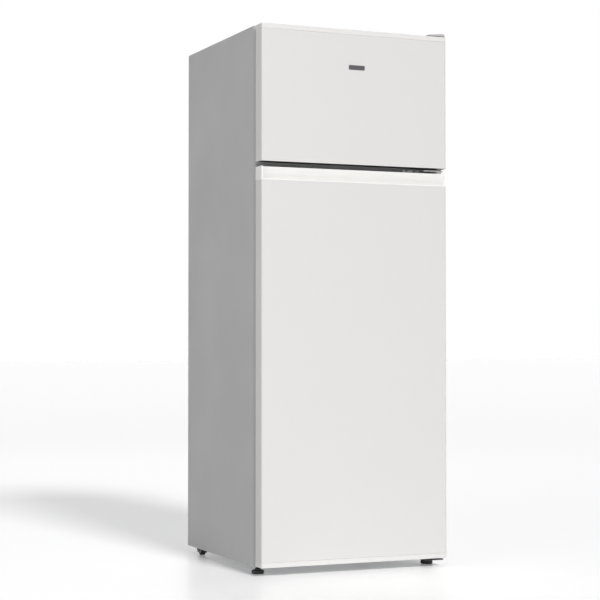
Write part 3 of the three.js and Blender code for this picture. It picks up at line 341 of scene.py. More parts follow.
def skin(rings, wrap=False):
    """Closed shell through rings[i, j]: quads from ring to ring, with each ring closed. wrap joins the last
    ring to the first, and otherwise a flat face closes each end. The enclosed volume, the sum of a . (b x c)
    over its triangles, is positive when the faces point outwards, and they are turned round if it isn't."""
    rings = np.asarray(rings, float)
    count, size = rings.shape[:2]
    index = np.arange(count * size).reshape(count, size)
    low = index if wrap else index[:-1]
    high = np.roll(index, -1, 0) if wrap else index[1:]
    quads = np.stack([low, np.roll(low, -1, 1), np.roll(high, -1, 1), high], -1).reshape(-1, 4)
    points = rings.reshape(-1, 3)
    a, b, c, d = (points[quads[:, k]] for k in range(4))
    volume = (a * np.cross(b, c)).sum() + (a * np.cross(c, d)).sum()
    ends = [] if wrap else [index[0, ::-1], index[-1]]
    for end in ends:
        fan = points[end]
        volume += (fan[:1] * np.cross(fan[1:-1], fan[2:])).sum()
    faces = quads.tolist() + [end.tolist() for end in ends]
    return points, faces if volume > 0 else [face[::-1] for face in faces]


def rect(x, y, radii, inset=0.0, steps=6):
    """Round-cornered rectangle, anticlockwise from its low corner, with every side moved in by inset."""
    x0, x1, y0, y1 = x[0] + inset, x[1] - inset, y[0] + inset, y[1] - inset
    radii = np.maximum(np.broadcast_to(radii, 4) - inset, 0.2)
    return fillet([(x0, y0), (x1, y0), (x1, y1), (x0, y1)], radii, steps)


def ring(outline, height, axis="z"):
    """2-D outline lifted to a height along an axis."""
    return np.insert(outline, 2, height, axis=1)[:, TURNED_TO[axis]]


def loft(x, y, radii, profile, axis="z", steps=6, wrap=False):
    """Shell whose ring k is the rectangle x by y moved in by profile[k][0], at height profile[k][1]."""
    return skin([ring(rect(x, y, radii, inset, steps), height, axis) for inset, height in profile], wrap)


def slab(x, y, radii, heights, edge, axis="z", steps=6):
    """Plate with a rounded outline and rounded edges."""
    low, high = heights
    profile = fillet([(2 * edge, low), (0, low), (0, high), (2 * edge, high)], [0, edge, edge, 0], 3, False)
    return loft(x, y, radii, profile, axis, steps)


def prism(outline, low, high, axis="z", edge=0.5):
    """Anticlockwise outline carried along an axis, with its two end edges bevelled."""
    inner = shifted(outline, edge, closed=True)
    return skin([ring(inner, low, axis), ring(outline, low + edge, axis),
                 ring(outline, high - edge, axis), ring(inner, high, axis)])


def folded(line, thickness, low, high, axis="z"):
    """Folded sheet: an open line and its copy moved to the left by thickness, carried along an axis."""
    inner = shifted(line, thickness)
    corners = [ring(line, low, axis), ring(line, high, axis), ring(inner, high, axis), ring(inner, low, axis)]
    return skin(np.stack(corners, 1))


def turned(profile, centre, axis="z", sides=48, grips=0, wrap=False):
    """Body of revolution: ring k has radius profile[k][0] at height profile[k][1]. A third value is the depth
    of the grip flutes there: r - depth |sin(grips a / 2)|. wrap closes the profile into a tube's wall."""
    profile = np.asarray(profile, float)
    angle = np.linspace(0, 2 * np.pi, sides, endpoint=False)
    radius = profile[:, :1] + 0 * angle
    if profile.shape[1] > 2:
        radius = radius - profile[:, 2:] * np.abs(np.sin(grips * angle / 2))
    height = profile[:, 1:2] + 0 * angle
    rings = np.stack([radius * np.cos(angle), radius * np.sin(angle), height], -1)
    return skin(rings[..., TURNED_TO[axis]] + np.asarray(centre, float), wrap)


def tube(corners, bend, radius, sides=14, steps=6):
    """Round tube whose centre line is straights joined by arcs of radius bend. Each ring lies on two unit
    vectors square to the line: s = t x w for a fixed slanted w, and s x t."""
    path = fillet(corners, bend, steps, closed=False)
    ahead = np.gradient(path, axis=0)
    ahead /= np.linalg.norm(ahead, axis=1, keepdims=True)
    side = np.cross(ahead, (0.58, 0.5, 0.64))
    side /= np.linalg.norm(side, axis=1, keepdims=True)
    up = np.cross(side, ahead)
    angle = np.linspace(0, 2 * np.pi, sides, endpoint=False)[None, :, None]
    return skin(path[:, None] + radius * (np.cos(angle) * side[:, None] + np.sin(angle) * up[:, None]))


def screw(centre, axis, way, radius=4.0, height=2.4):
    """Pan head with a cross recess: height H (1 - (r / R)^4) less 0.6 H inside either arm of the cross."""
    radii = np.array([1, 1, 0.94, 0.8, 0.62, 0.56, 0.5, 0.4, 0.3, 0.2, 0.1, 0.03]) * radius
    angle = np.linspace(0, 2 * np.pi, 40, endpoint=False)
    u, v = radii[:, None] * np.cos(angle), radii[:, None] * np.sin(angle)
    arm = (np.minimum(np.abs(u), np.abs(v)) < 0.14 * radius) & (radii[:, None] < 0.58 * radius)
    rise = height * (1 - (radii[:, None] / radius) ** 4 * 0.75) - 0.6 * height * arm
    rise[0] = -0.2
    return skin(np.stack([u, v, rise * way], -1)[..., TURNED_TO[axis]] + np.asarray(centre, float))


def mesh_of(name, shells):
    """One mesh from several closed shells, in metres."""
    starts = np.cumsum([0] + [len(points) for points, _ in shells])
    points = np.concatenate([points for points, _ in shells]) / 1000
    faces = [[start + k for k in face]
             for start, (_, shell) in zip(starts.tolist(), shells) for face in shell]
    mesh = bpy.data.meshes.new(name)
    mesh.from_pydata(points.tolist(), [], faces)
    mesh.update()
    return mesh


def bored(obj, cutters):
    """Cuts the cutter shells out of an object's mesh."""
    cutter = bpy.data.objects.new("cutter", mesh_of("cutter", cutters))
    bpy.context.scene.collection.objects.link(cutter)
    cut = obj.modifiers.new("cut", "BOOLEAN")
    cut.object, cut.solver = cutter, "EXACT"
    bpy.context.view_layer.update()
    obj.data = bpy.data.meshes.new_from_object(obj.evaluated_get(bpy.context.evaluated_depsgraph_get()))
    obj.modifiers.clear()
    bpy.data.objects.remove(cutter)


def piece(name, shells, body, slot, *nodes, bores=(), smooth=38):
    """One finished piece on its body, in its finish, standing for the named frame nodes."""
    obj = bpy.data.objects.new(name, mesh_of(name, shells))
    bpy.context.scene.collection.objects.link(obj)
    if bores:
        bored(obj, bores)
    obj.data.materials.clear()
    obj.data.materials.append(materials[slot])
    obj.data.polygons.foreach_set("use_smooth", [True] * len(obj.data.polygons))
    obj.data.set_sharp_from_angle(angle=math.radians(smooth))
    even = obj.modifiers.new("even_shading", "WEIGHTED_NORMAL")
    even.keep_sharp, even.weight = True, 70
    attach(obj, body)
    if nodes:
        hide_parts(*nodes)
    return obj


# ------------------------------------------------------------------ sizes that a node's box doesn't give
SHEET = 0.8                  # cabinet sheet
DOOR_SHEET = 0.6
DOOR_RETURN = 12             # door sheet folded in at the rear
OPEN_EDGE, HINGE_EDGE = 5, 9  # radii of a door's two upright edges
FRONT_RETURN = 30            # cabinet sheet folded in at the front
FRONT_EDGE = 8               # radius of that fold
LINER_WALL = 1.6
LINER_LIP = 8                # liner flange below and above its mouth
FREEZER_SIDE, FRIDGE_SIDE, TOP_WALL = 55, 45, 55
RIDGE_WIDTH, RIDGE_RISE = 16, 45
RIDGE_WALL = 1.5
HINGE_INSET, HINGE_SETBACK = 16, 20   # hinge line from the cabinet's side and from the doors' front
PIN, PIN_BORE = 4.0, 4.4

(left_x, _), (front_y, rear_y), (under_z, top_z) = span("side_panel_left")
half = -left_x
_, (door_front, door_rear), (freezer_low, _) = span("freezer_door_panel")
fridge_high = span("fridge_door_handle_cap")[2][1]
hinge_x, hinge_y = half - HINGE_INSET, door_front + HINGE_SETBACK


# ------------------------------------------------------------------ cabinet
def build_side_panels():
    for side, label in ((-1, "left"), (1, "right")):
        name = f"side_panel_{label}"
        x = side * half
        line = fillet([(x - side * 12, rear_y), (x, rear_y), (x, front_y),
                       (x - side * FRONT_RETURN, front_y)], [0, 1.5, FRONT_EDGE, 0], 8, closed=False)
        piece(f"{label}_side_panel", [folded(line, -side * SHEET, under_z, top_z)], "cabinet",
              "cabinet_sheet", name)


def build_top_panel():
    """Flat deck with a rounded nose over the mullion side, and two tabs behind the side panels' folds."""
    (x0, x1), (_, back), (_, z1) = span("top_panel")
    nose_half = half - FRONT_RETURN - 0.3
    nose = fillet([(front_y + FRONT_EDGE + 0.3, z1), (front_y, z1), (front_y, z1 - FRONT_RETURN)],
                  [0, FRONT_EDGE, 0], 8, closed=False)
    shells = [slab((x0, x1), (front_y + FRONT_EDGE, back), 0.3, (z1 - SHEET, z1), 0.2),
              folded(nose, SHEET, -nose_half, nose_half, "x")]
    for side in (-1, 1):
        tab = sorted((side * nose_half, side * (half - 1.1)))
        radii = [6.5, 0.3, 0.3, 0.3] if side < 0 else [0.3, 6.5, 0.3, 0.3]
        shells.append(slab(tab, (front_y + 1.1, front_y + FRONT_EDGE + 0.4), radii, (z1 - SHEET, z1), 0.15))
    piece("top_deck", shells, "cabinet", "cabinet_sheet", "top_panel")


def build_back_panel():
    """Sheet pressed in by 1.5 mm along five upright beads: the press is a product of two smooth steps, one
    across the bead and one along it, so each bead ends in a round shoulder."""
    (x0, x1), (_, y1), (z0, z1) = span("back_panel")
    beads, bead_half, flank, press, end = 5, 14, 5, 1.5, 45
    x, z = np.linspace(x0, x1, 191), np.linspace(z0, z1, 121)
    middle = x0 + (x1 - x0) * (np.floor((x - x0) / (x1 - x0) * beads).clip(0, beads - 1) + 0.5) / beads
    across = np.clip((bead_half - np.abs(x - middle)) / flank, 0, 1)
    along = np.clip((np.minimum(z - z0, z1 - z) - end) / 14, 0, 1)
    pushed = press * (across ** 2 * (3 - 2 * across))[None] * (along ** 2 * (3 - 2 * along))[:, None]
    grid = np.broadcast_arrays(x[None], y1 - pushed, z[:, None])
    outer = np.stack(grid, -1)
    inner = outer - (0, SHEET, 0)
    piece("rear_panel", [skin(np.concatenate([outer, inner[:, ::-1]], 1))], "cabinet", "galvanised_sheet",
          "back_panel")
    heads = [screw((side * (x1 - 8), y1, height), "y", 1, 3.6, 0.9)
             for side in (-1, 1) for height in np.linspace(z0 + 20, z1 - 20, 6)]
    heads += [screw((x1 * share, y1, height), "y", 1, 3.6, 0.9) for share in (-0.4, 0.4)
              for height in (z0 + 8, z1 - 8)]
    piece("rear_panel_screws", heads, "cabinet", "hinge_steel")


def build_mullion_cover():
    x, y, z = span("mullion_cover")
    # The mullion is painted steel like the cabinet; its grey sheet, darker than the doors, also paints shade
    # into the gap between the doors.
    piece("mullion_plate", [slab(x, z, 2, y, 0.7, "y")], "cabinet", "cabinet_sheet", "mullion_cover")


def formed_liner(name, node, flange, stations, radius, extra, body="cabinet"):
    """Vacuum-formed room, open to the front. Station k is (inset, y, floor, half width, ceiling). The foam
    side is the same surface moved out and back by the wall, and the flange joins the two at the front."""
    def at(grow, shift):
        return [ring(rect((-side, side), (floor, top), radius, inset - grow), y + shift, "y")
                for inset, y, floor, side, top in stations]
    flange_x, flange_z = flange
    rims = [ring(rect(flange_x, flange_z, 2), front_y + shift, "y") for shift in (LINER_WALL, 0)]
    shell = skin(at(LINER_WALL, LINER_WALL)[::-1] + rims + at(0, 0))
    piece(name, [shell] + extra, body, "liner_plastic", node)


def ledges(side, rear, height):
    """Pair of moulded rails just under a shelf."""
    return [slab(sorted((s * (side - 4), s * (side + 0.8))), (height - 8, height - 0.4), 1.2,
                 (front_y + 130, rear - 10), 1.2, "y", 3) for s in (-1, 1)]


def build_liners():
    x, (_, back), z = span("freezer_liner")
    rear = back - LINER_WALL
    side, floor, top = half - FREEZER_SIDE, z[0] + LINER_LIP, top_z - TOP_WALL
    path = fillet([(-4, front_y), (0, front_y), (3, rear), (40, rear)], [0, 3, 14, 0], 6, closed=False)
    stations = [(inset, y, floor, side, top) for inset, y in path]
    shelf = span("freezer_shelf_glass")[2][0]
    formed_liner("freezer_inner_liner", "freezer_liner", (x, z), stations, 20, ledges(side, rear, shelf))

    x, _, z = span("fridge_liner")
    side, floor, top = half - FRIDGE_SIDE, z[0] + LINER_LIP, z[1] - LINER_LIP
    hump_top = span("crisper_cover_glass")[2][0] - 0.3
    hump = span("crisper_drawer")[1][1] + 6
    mouth = fillet([(-4, front_y), (0, front_y), (0, hump - 60)], [0, 3, 0], 5, closed=False)
    riser = fillet([(hump - 50, floor), (hump - 20, floor), (hump - 3, floor + 18), (hump, hump_top),
                    (hump + 40, hump_top)], [0, 12, 10, 10, 0], 5, closed=False)
    corner = fillet([(0, hump + 60), (3, rear), (40, rear)], [0, 14, 0], 6, closed=False)
    stations = [(inset, y, floor, side, top) for inset, y in mouth]
    stations += [(0, y, height, side, top) for y, height in riser]
    stations += [(inset, y, hump_top, side, top) for inset, y in corner]
    extra = [shell for node in ("fridge_shelf_upper_glass", "fridge_shelf_middle_glass")
             for shell in ledges(side, rear, span(node)[2][0])]
    formed_liner("fridge_inner_liner", "fridge_liner", (x, z), stations, 14, extra)


# ------------------------------------------------------------------ shelves, drawer and controls
def build_shelves():
    """Glass panes, each held in a moulded front trim."""
    for prefix, label in (("fridge_shelf_upper", "upper_shelf"), ("fridge_shelf_middle", "middle_shelf"),
                          ("freezer_shelf", "freezer_shelf"), ("crisper_cover", "crisper_lid")):
        x, y, z = span(f"{prefix}_glass")
        piece(f"{label}_pane", [slab(x, y, 5, z, 1.0, steps=4)], "cabinet", "shelf_glass", f"{prefix}_glass")
        slot, node = (z[0] - 0.3, z[1] + 0.3), f"{prefix}_trim"
        x, (y0, y1), (z0, z1) = span(node)
        section = fillet([(y0, z0), (y1, z0), (y1, slot[0]), (y0 + 3.7, slot[0]), (y0 + 3.7, slot[1]),
                          (y1, slot[1]), (y1, z1), (y0, z1)], [4, 2, 0.3, 0.3, 0.3, 0.3, 2, 4], 5)
        piece(f"{label}_edge_trim", [prism(section, *x, "x", 0.8)], "cabinet", "white_plastic", node)


def build_crisper_drawer():
    """Drafted tub with a bowed front and a sloping rear foot: y grows by 5 (x / a)^2 (1 - s), with s from 0
    at the front to 1 at the back, and is held in front of the slope's line, y = back - 27 + height."""
    (x0, x1), (grip_y, y1), (z0, z1) = span("crisper_drawer")
    y0 = grip_y + 12
    profile = fillet([(16, z0), (4, z0), (2, z1 - 8), (0, z1 - 6), (0, z1), (2.2, z1), (5, z0 + 2.4),
                      (18, z0 + 2.4)], [0, 6, 2, 1.5, 0.8, 0.8, 5, 0], 4, closed=False)
    rings = np.array([ring(rect((x0, x1), (y0, y1), 16, inset), height) for inset, height in profile])
    share = (rings[..., 1] - y0) / (y1 - y0)
    rings[..., 1] += 5 * (rings[..., 0] / x1) ** 2 * (1 - share)
    slope = y1 - 27 + (rings[..., 2] - z0)
    inner = (np.arange(len(profile)) > len(profile) // 2)[:, None] * 2.0
    rings[..., 1] = np.minimum(rings[..., 1], slope - inner)
    grip = fillet([(y0 - 12, z1 - 20), (y0 - 9.4, z1 - 20), (y0 - 9.4, z1 - 3), (y0 + 2, z1 - 3),
                   (y0 + 2, z1 - 0.4), (y0 - 12, z1 - 0.4)], [1, 1, 3, 0.3, 0.3, 5], 5)
    piece("vegetable_drawer", [skin(rings), prism(grip, -90, 90, "x", 1.0)], "crisper_drawer",
          "clear_plastic", "crisper_drawer")


def build_controls():
    x, y, (z0, z1) = span("control_housing")
    (kx0, kx1), (ky0, ky1), (k0, k1) = span("thermostat_knob")
    knob_x, knob_y, radius = (kx0 + kx1) / 2, (ky0 + ky1) / 2, (kx1 - kx0) / 2
    body = loft(x, y, 12, fillet([(26, z0), (3, z0), (0, z1), (2, z1)], [0, 7, 0.3, 0], 6, False), steps=8)
    marks = []
    for k, turn in enumerate(np.linspace(-2.2, 2.2, 7)):
        reach = 3.0 + 0.5 * k
        away = np.array([np.sin(turn), -np.cos(turn)])
        across = np.array([away[1], -away[0]]) * 0.7
        near, far = np.array([knob_x, knob_y]) + away * 22, np.array([knob_x, knob_y]) + away * (22 + reach)
        outline = np.array([near + across, far + across, far - across, near - across])
        marks.append(skin([ring(outline, z0 - 0.25), ring(outline, z0 + 0.5)]))
    ribs = [slab((x[0] + 14 + 7 * k, x[0] + 17 + 7 * k), (y[1] - 44, y[1] - 14), 1.4, (z0 - 0.5, z0 + 1), 0.3)
            for k in range(24)]
    piece("control_box", [body] + ribs, "cabinet", "white_plastic", "control_housing")
    piece("thermostat_scale", marks, "cabinet", "grey_plastic")

    face = k0 + 4
    profile = [(0.5, face, 0), (12, face, 0), (15, face + 0.4, 0), (16.6, face + 1.6, 0.2),
               (17.6, face + 3.4, 0.5), (radius, face + 6, 0.7), (radius, face + 13.4, 0.7),
               (17.4, face + 15, 0), (4.6, face + 15, 0), (4.6, k1 - 0.6, 0), (4, k1, 0), (0.5, k1, 0)]
    dial = turned(profile, (knob_x, knob_y, 0), sides=144, grips=36)
    bar = slab((knob_x - 2.6, knob_x + 2.6), (knob_y - 15.5, knob_y + 15.5), 2, (k0, face + 1.5), 0.9)
    piece("temperature_knob", [dial, bar], "thermostat_knob", "grey_plastic", "thermostat_knob")

    x, y, (z0, z1) = span("lamp_cover")
    profile = fillet([(14, z0), (2.4, z0), (0, z1), (1.4, z1), (3.8, z0 + 1.5), (15, z0 + 1.5)],
                     [0, 3, 0.3, 0.3, 2, 0], 4, closed=False)
    cover = [loft(x, y, 8, profile)]
    cover += [slab((x[0] + 8, x[1] - 8), (place, place + 2.6), 1, (z0 - 0.6, z0 + 0.8), 0.5, steps=2)
              for place in np.arange(y[0] + 8, y[1] - 10, 4.2)]
    piece("lamp_lens", cover, "cabinet", "frosted_plastic", "lamp_cover")
    (x0, _), y, z = span("lamp_bulb")
    profile = [(0.5, 0), (6.6, 0), (7, 0.6), (7, 3), (6.4, 4), (7, 5), (6.4, 6), (7, 7), (6.4, 8), (7, 9),
               (6.4, 10), (7, 12), (7.4, 17), (9, 24), (11, 31), (12, 38), (11.2, 43), (9, 47.4), (5.6, 50.6),
               (2, 51.9), (0.5, 52)]
    piece("lamp", [turned(profile, (x0, sum(y) / 2, sum(z) / 2), "x")], "cabinet", "bulb_glass", "lamp_bulb")


# ------------------------------------------------------------------ doors
def door_sheet(low, high):
    """Door sheet folded round the door: front, two upright edges and returns at the rear."""
    line = fillet([(-half + DOOR_RETURN, door_rear), (-half, door_rear), (-half, door_front),
                   (half, door_front), (half, door_rear), (half - DOOR_RETURN, door_rear)],
                  [0, 1.5, OPEN_EDGE, HINGE_EDGE, 1.5, 0], 10, closed=False)
    return folded(line, DOOR_SHEET, low, high)


DOOR_RADII = [OPEN_EDGE, HINGE_EDGE, 1.2, 1.2]


def pin_bore(low, high):
    return turned([(PIN_BORE, low), (PIN_BORE, high)], (hinge_x, hinge_y, 0), sides=32)


def end_cap(name, node, body, opens_up, inset=0.0, slot="white_plastic"):
    """Tray-shaped door cap with a flange round its edge and a bore for the hinge pin."""
    _, _, (low, high) = span(node)
    outer, inner = (low, high) if opens_up else (high, low)
    way = 1 if opens_up else -1
    profile = fillet([(inset + 4, outer), (inset, outer), (inset, inner), (inset + 2.2, inner),
                      (inset + 2.2, outer + way * 2.2), (inset + 6, outer + way * 2.2)],
                     [0, 1.3, 0.2, 0.2, 0.8, 0], 4, closed=False)
    x, y = (-half, half), (door_front, door_rear)
    tray = loft(x, y, DOOR_RADII, profile, steps=10)
    piece(name, [tray], body, slot, node, bores=[pin_bore(low - 2, high + 2)])


def ridged_liner(name, node, body, side, ridge_z):
    """Inner door moulding: a flat plate and, round it, a hollow ridge with drafted flanks. The foam side is
    the ridge's section moved in by the wall."""
    x, (_, crest), z = span(node)
    plate = crest - RIDGE_RISE
    section = fillet([(-12, 0), (0, 0), (0.6, RIDGE_RISE), (RIDGE_WIDTH - 0.6, RIDGE_RISE), (RIDGE_WIDTH, 0),
                      (RIDGE_WIDTH + 12, 0)], [0, 4, 3.5, 3.5, 4, 0], 5, closed=False)

    def around(line):
        return [ring(rect((-side, side), ridge_z, max(15, inset + 8), inset), plate + rise, "y")
                for inset, rise in line]
    rims = [ring(rect(x, z, 3), y, "y") for y in (plate - RIDGE_WALL, plate)]
    shell = skin(around(shifted(section, -RIDGE_WALL)[::-1]) + rims + around(section))
    piece(name, [shell], body, "liner_plastic", node)


def gasket(name, node, body):
    """Extruded seal with mitred corners: a flat foot on the door, a bellows, and a pocket for the magnet."""
    x, (y0, y1), z = span(node)
    deep = y1 - y0
    section = fillet([(1.2, 0), (16.8, 0), (16.8, 1.4), (14.2, 2.4), (14.2, 4.2), (18, 5.2), (18, deep),
                      (0, deep), (0, 5.2), (3.8, 4.2), (3.8, 2.4), (1.2, 1.4)],
                     [0.3, 0.3, 0.4, 0.7, 0.7, 1, 1.2, 1.2, 1, 0.7, 0.7, 0.4], 3)
    piece(name, [loft(x, z, 0.2, section + (0, y0), "y", 1, wrap=True)], body, "gasket_vinyl", node)


def door_bin(name, node, body, room_height):
    """Open box on the door. Its rim runs level from the door for 30 mm, then falls smoothly to the room side:
    z = low + t (rim(y) - low), where rim drops by s^2 (3 - 2 s)."""
    x, (y0, y1), (z0, z1) = span(node)
    height = z1 - z0
    profile = fillet([(14, 0), (3, 0), (1.4, height - 7), (0, height - 5.5), (0, height), (2.2, height),
                      (5, 2.2), (16, 2.2)], [0, 6, 1.5, 1, 0.9, 0.9, 5, 0], 4, closed=False)
    rings = np.array([ring(rect(x, (y0, y1), 12, inset), level) for inset, level in profile])
    s = np.clip((rings[..., 1] - y0 - 30) / (y1 - y0 - 34), 0, 1)
    rim = height - (height - room_height) * s * s * (3 - 2 * s)
    rings[..., 2] = z0 + rings[..., 2] * rim / height
    piece(name, [skin(rings)], body, "clear_plastic", node)


def build_freezer_door():
    body = "freezer_door"
    _, _, (low, high) = span("freezer_door_panel")
    piece("freezer_door_skin", [door_sheet(low, high)], body, "door_sheet", "freezer_door_panel")
    end_cap("freezer_door_upper_cap", "freezer_door_top_cap", body, opens_up=False)
    # The freezer door's lower cap is given the black finish as painted shade, so the gap between the doors
    # looks as dark as its shade.
    end_cap("freezer_door_lower_cap", "freezer_door_bottom_cap", body, opens_up=True, inset=DOOR_SHEET + 0.3,
            slot="black_plastic")
    room = span("freezer_liner")[2][0] + LINER_LIP, top_z - TOP_WALL
    ridged_liner("freezer_door_inner", "freezer_door_liner", body, half - FREEZER_SIDE - 15,
                 (room[0] + 10, room[1] - 10))
    gasket("freezer_door_seal", "freezer_door_gasket", body)
    for label in ("lower", "upper"):
        door_bin(f"freezer_{label}_door_bin", f"freezer_door_bin_{label}", body, 46)
    x, y, z = span("badge")
    piece("name_bar", [slab(x, z, 2, y, 0.35, "y")], body, "badge_plastic", "badge")


def handle_cap():
    """Top cap of the lower door with the finger recess: a section in (y, z) carried across the door. Near
    the upright edges the section's front is held behind the edge's arc, y >= front + r - sqrt(r^2 - d^2).
    The left end is closed by a wall, and the right end is open."""
    _, (y0, y1), (low, high) = span("fridge_door_handle_cap")
    seam, lip = high - 35.7, high - 32
    trough, back = high - 46, y0 + 17
    section = fillet([
        (y0, seam), (y0 + 0.9, seam), (y0 + 0.9, low), (back + 2.5, low), (back + 2.5, seam), (y1, seam),
        (y1, high), (y0 + 11, high), (back, lip + 8), (back, trough), (y0 + 4, trough), (y0 + 4, lip),
        (y0, lip)],
        [0.2, 0.2, 1, 2, 0.2, 0.8, 1.2, 2.4, 26, 6, 4, 1.4, 1.2], 6)
    stations = np.concatenate([[-half + 3.4], [-half + OPEN_EDGE], [half - HINGE_EDGE],
                               half - HINGE_EDGE * (1 - np.sin(np.linspace(0.1, np.pi / 2, 9)))])
    rings = np.repeat(section[None], len(stations), 0)
    left = np.clip(stations + half, 0, OPEN_EDGE) - OPEN_EDGE
    right = np.clip(stations - (half - HINGE_EDGE), 0, HINGE_EDGE)
    edge = OPEN_EDGE - np.sqrt(OPEN_EDGE ** 2 - left ** 2)
    edge += HINGE_EDGE - np.sqrt(HINGE_EDGE ** 2 - right ** 2)
    y = np.maximum(rings[..., 0], y0 + edge[:, None])
    below = rings[..., 1] < seam - 0.1
    x = np.where(below, np.clip(stations, -half + 1, half - 1)[:, None], stations[:, None] + 0 * y)
    body = skin(np.stack([x, y, rings[..., 1]], -1))
    depths = np.linspace(0, 3.5, 8)
    front = y0 + OPEN_EDGE - np.sqrt(OPEN_EDGE ** 2 - (OPEN_EDGE - depths) ** 2)
    wall = [ring(rect((start, y1), (seam, high), 0.9), -half + depth, "x")
            for depth, start in zip(depths, front)]
    return [body, skin(wall)]


def build_fridge_door():
    body = "fridge_door"
    _, _, (low, high) = span("fridge_door_panel")
    piece("fridge_door_skin", [door_sheet(low, high)], body, "door_sheet", "fridge_door_panel")
    end_cap("fridge_door_lower_cap", "fridge_door_bottom_cap", body, opens_up=True)
    top = span("fridge_door_handle_cap")[2][1]
    # The grip cap's lighter white is painted light for the light that the finger recess catches.
    piece("fridge_door_grip_cap", handle_cap(), body, "grip_plastic", "fridge_door_handle_cap",
          bores=[pin_bore(top - 15, top + 2)])
    z = span("fridge_liner")[2]
    ridged_liner("fridge_door_inner", "fridge_door_liner", body, half - FRIDGE_SIDE - 15,
                 (z[0] + LINER_LIP + 10, z[1] - LINER_LIP - 10))
    gasket("fridge_door_seal", "fridge_door_gasket", body)
    for label, room_height in (("lower", 70), ("middle", 50), ("upper", 50)):
        door_bin(f"fridge_{label}_door_bin", f"fridge_door_bin_{label}", body, room_height)


# ------------------------------------------------------------------ hinges, feet and rollers
def pin(low, high, radius=PIN):
    """Hinge pin with a chamfered end at the top and at the bottom."""
    return turned([(radius - 1, low), (radius, low + 1), (radius, high - 1), (radius - 1, high)],
                  (hinge_x, hinge_y, 0), sides=32)


def build_hinges():
    x, y, (z0, z1) = span("top_hinge")
    shells = [slab(x, y, 8, (z1 - 2.5, z1), 0.5), pin(z0, z1 - 1)]
    shells += [screw((place, y[1] - 14 - 34 * k, z1), "z", 1, 4.5, 3)
               for k, place in enumerate((x[0] + 12, x[1] - 14, x[0] + 14))]
    piece("top_hinge_plate", shells, "cabinet", "hinge_steel", "top_hinge")

    (x0, x1), y, (z0, z1) = span("top_hinge_cover")
    section = fillet([(x0, z0), (x1, z0), (x1, z1 - 2), (x1 - 4, z1), (x1 - 10, z1 - 0.3), (x0, z0 + 4.4)],
                     [0.3, 0.3, 2, 2.5, 8, 1.5], 5)
    piece("top_hinge_hood", [prism(section, *y, "y", 1.4)], "cabinet", "grey_plastic", "top_hinge_cover")

    x, (y0, y1), (z0, z1) = span("middle_hinge")
    middle = (z0 + z1) / 2
    leg_z = (fridge_high + 0.7, freezer_low - 0.7)
    shells = [slab((x[1] - 60, x[1]), (y0, y1), 8, (middle - 1.5, middle + 1.5), 0.6),
              slab((x[0], x[1] - 4), leg_z, 2, (y1 - 3, y1), 0.6, "y"), pin(z0, z1)]
    shells += [screw((place, y1 - 3, middle), "y", -1, 4, 2.2) for place in (x[0] + 12, x[0] + 34)]
    piece("middle_hinge_bracket", shells, "cabinet", "hinge_steel", "middle_hinge")
    washers = [turned([(PIN + 0.2, low), (8, low), (8, high), (PIN + 0.2, high)], (hinge_x, hinge_y, 0),
                      sides=32)
               for low, high in ((middle + 1.6, freezer_low - 0.2), (fridge_high + 0.1, middle - 1.6))]
    piece("middle_hinge_washers", washers, "cabinet", "grey_plastic")

    x, y, (z0, z1) = span("bottom_hinge")
    shells = [slab(x, y, 8, (z0, z0 + 3), 0.6), pin(z0 + 0.5, z1)]
    shells += [screw((x[0] + 12 + 20 * k, y[1] - 10, z0), "z", -1, 4, 2.2) for k in range(2)]
    piece("bottom_hinge_bracket", shells, "cabinet", "black_steel", "bottom_hinge")


def build_feet():
    """Levelling foot: fluted disc, hub and a threaded stem whose radius rises and falls with each turn."""
    for label in ("left", "right"):
        x, y, (z0, z1) = span(f"front_{label}_foot")
        radius = (x[1] - x[0]) / 2
        thread = np.arange(15, z1 - 1, 0.75)
        stem = [(5 - 0.5 * (k % 2), height, 0) for k, height in enumerate(thread)]
        profile = [(1, 0, 0), (radius - 2.5, 0, 0), (radius - 1, 0.6, 0.2), (radius, 2, 0.8),
                   (radius, 7.4, 0.8), (radius - 0.8, 9, 0.4), (radius - 2.4, 10, 0), (8.6, 10, 0),
                   (8, 10.6, 0), (8, 13.4, 0), (7.4, 14, 0), (5, 14.2, 0)] + stem + [(4, z1, 0), (0.5, z1, 0)]
        piece(f"{label}_levelling_foot", [turned(profile, (sum(x) / 2, sum(y) / 2, z0), sides=120, grips=24)],
              f"front_{label}_foot", "black_plastic", f"front_{label}_foot")


def build_rollers():
    """Moulded wheel: round-shouldered tread, a web dished on both faces, and a hub on the axle."""
    for label in ("left", "right"):
        (x0, x1), y, z = span(f"rear_roller_{label}")
        radius, bore, wide = (z[1] - z[0]) / 2, 3.4, x1 - x0
        section = fillet([(bore, 0), (6.5, 0), (7, 3), (10.4, 3), (11, 0.4), (radius, 0.4),
                          (radius, wide - 0.4), (11, wide - 0.4), (10.4, wide - 3), (7, wide - 3),
                          (6.5, wide), (bore, wide)],
                         [0.3, 0.5, 1, 1, 0.5, 1.6, 1.6, 0.5, 1, 1, 0.5, 0.3], 3)
        wheel = turned(section, (x0, sum(y) / 2, sum(z) / 2), "x", 64, wrap=True)
        name = f"rear_roller_{label}"
        piece(f"{label}_rear_wheel", [wheel], name, "black_plastic", name)


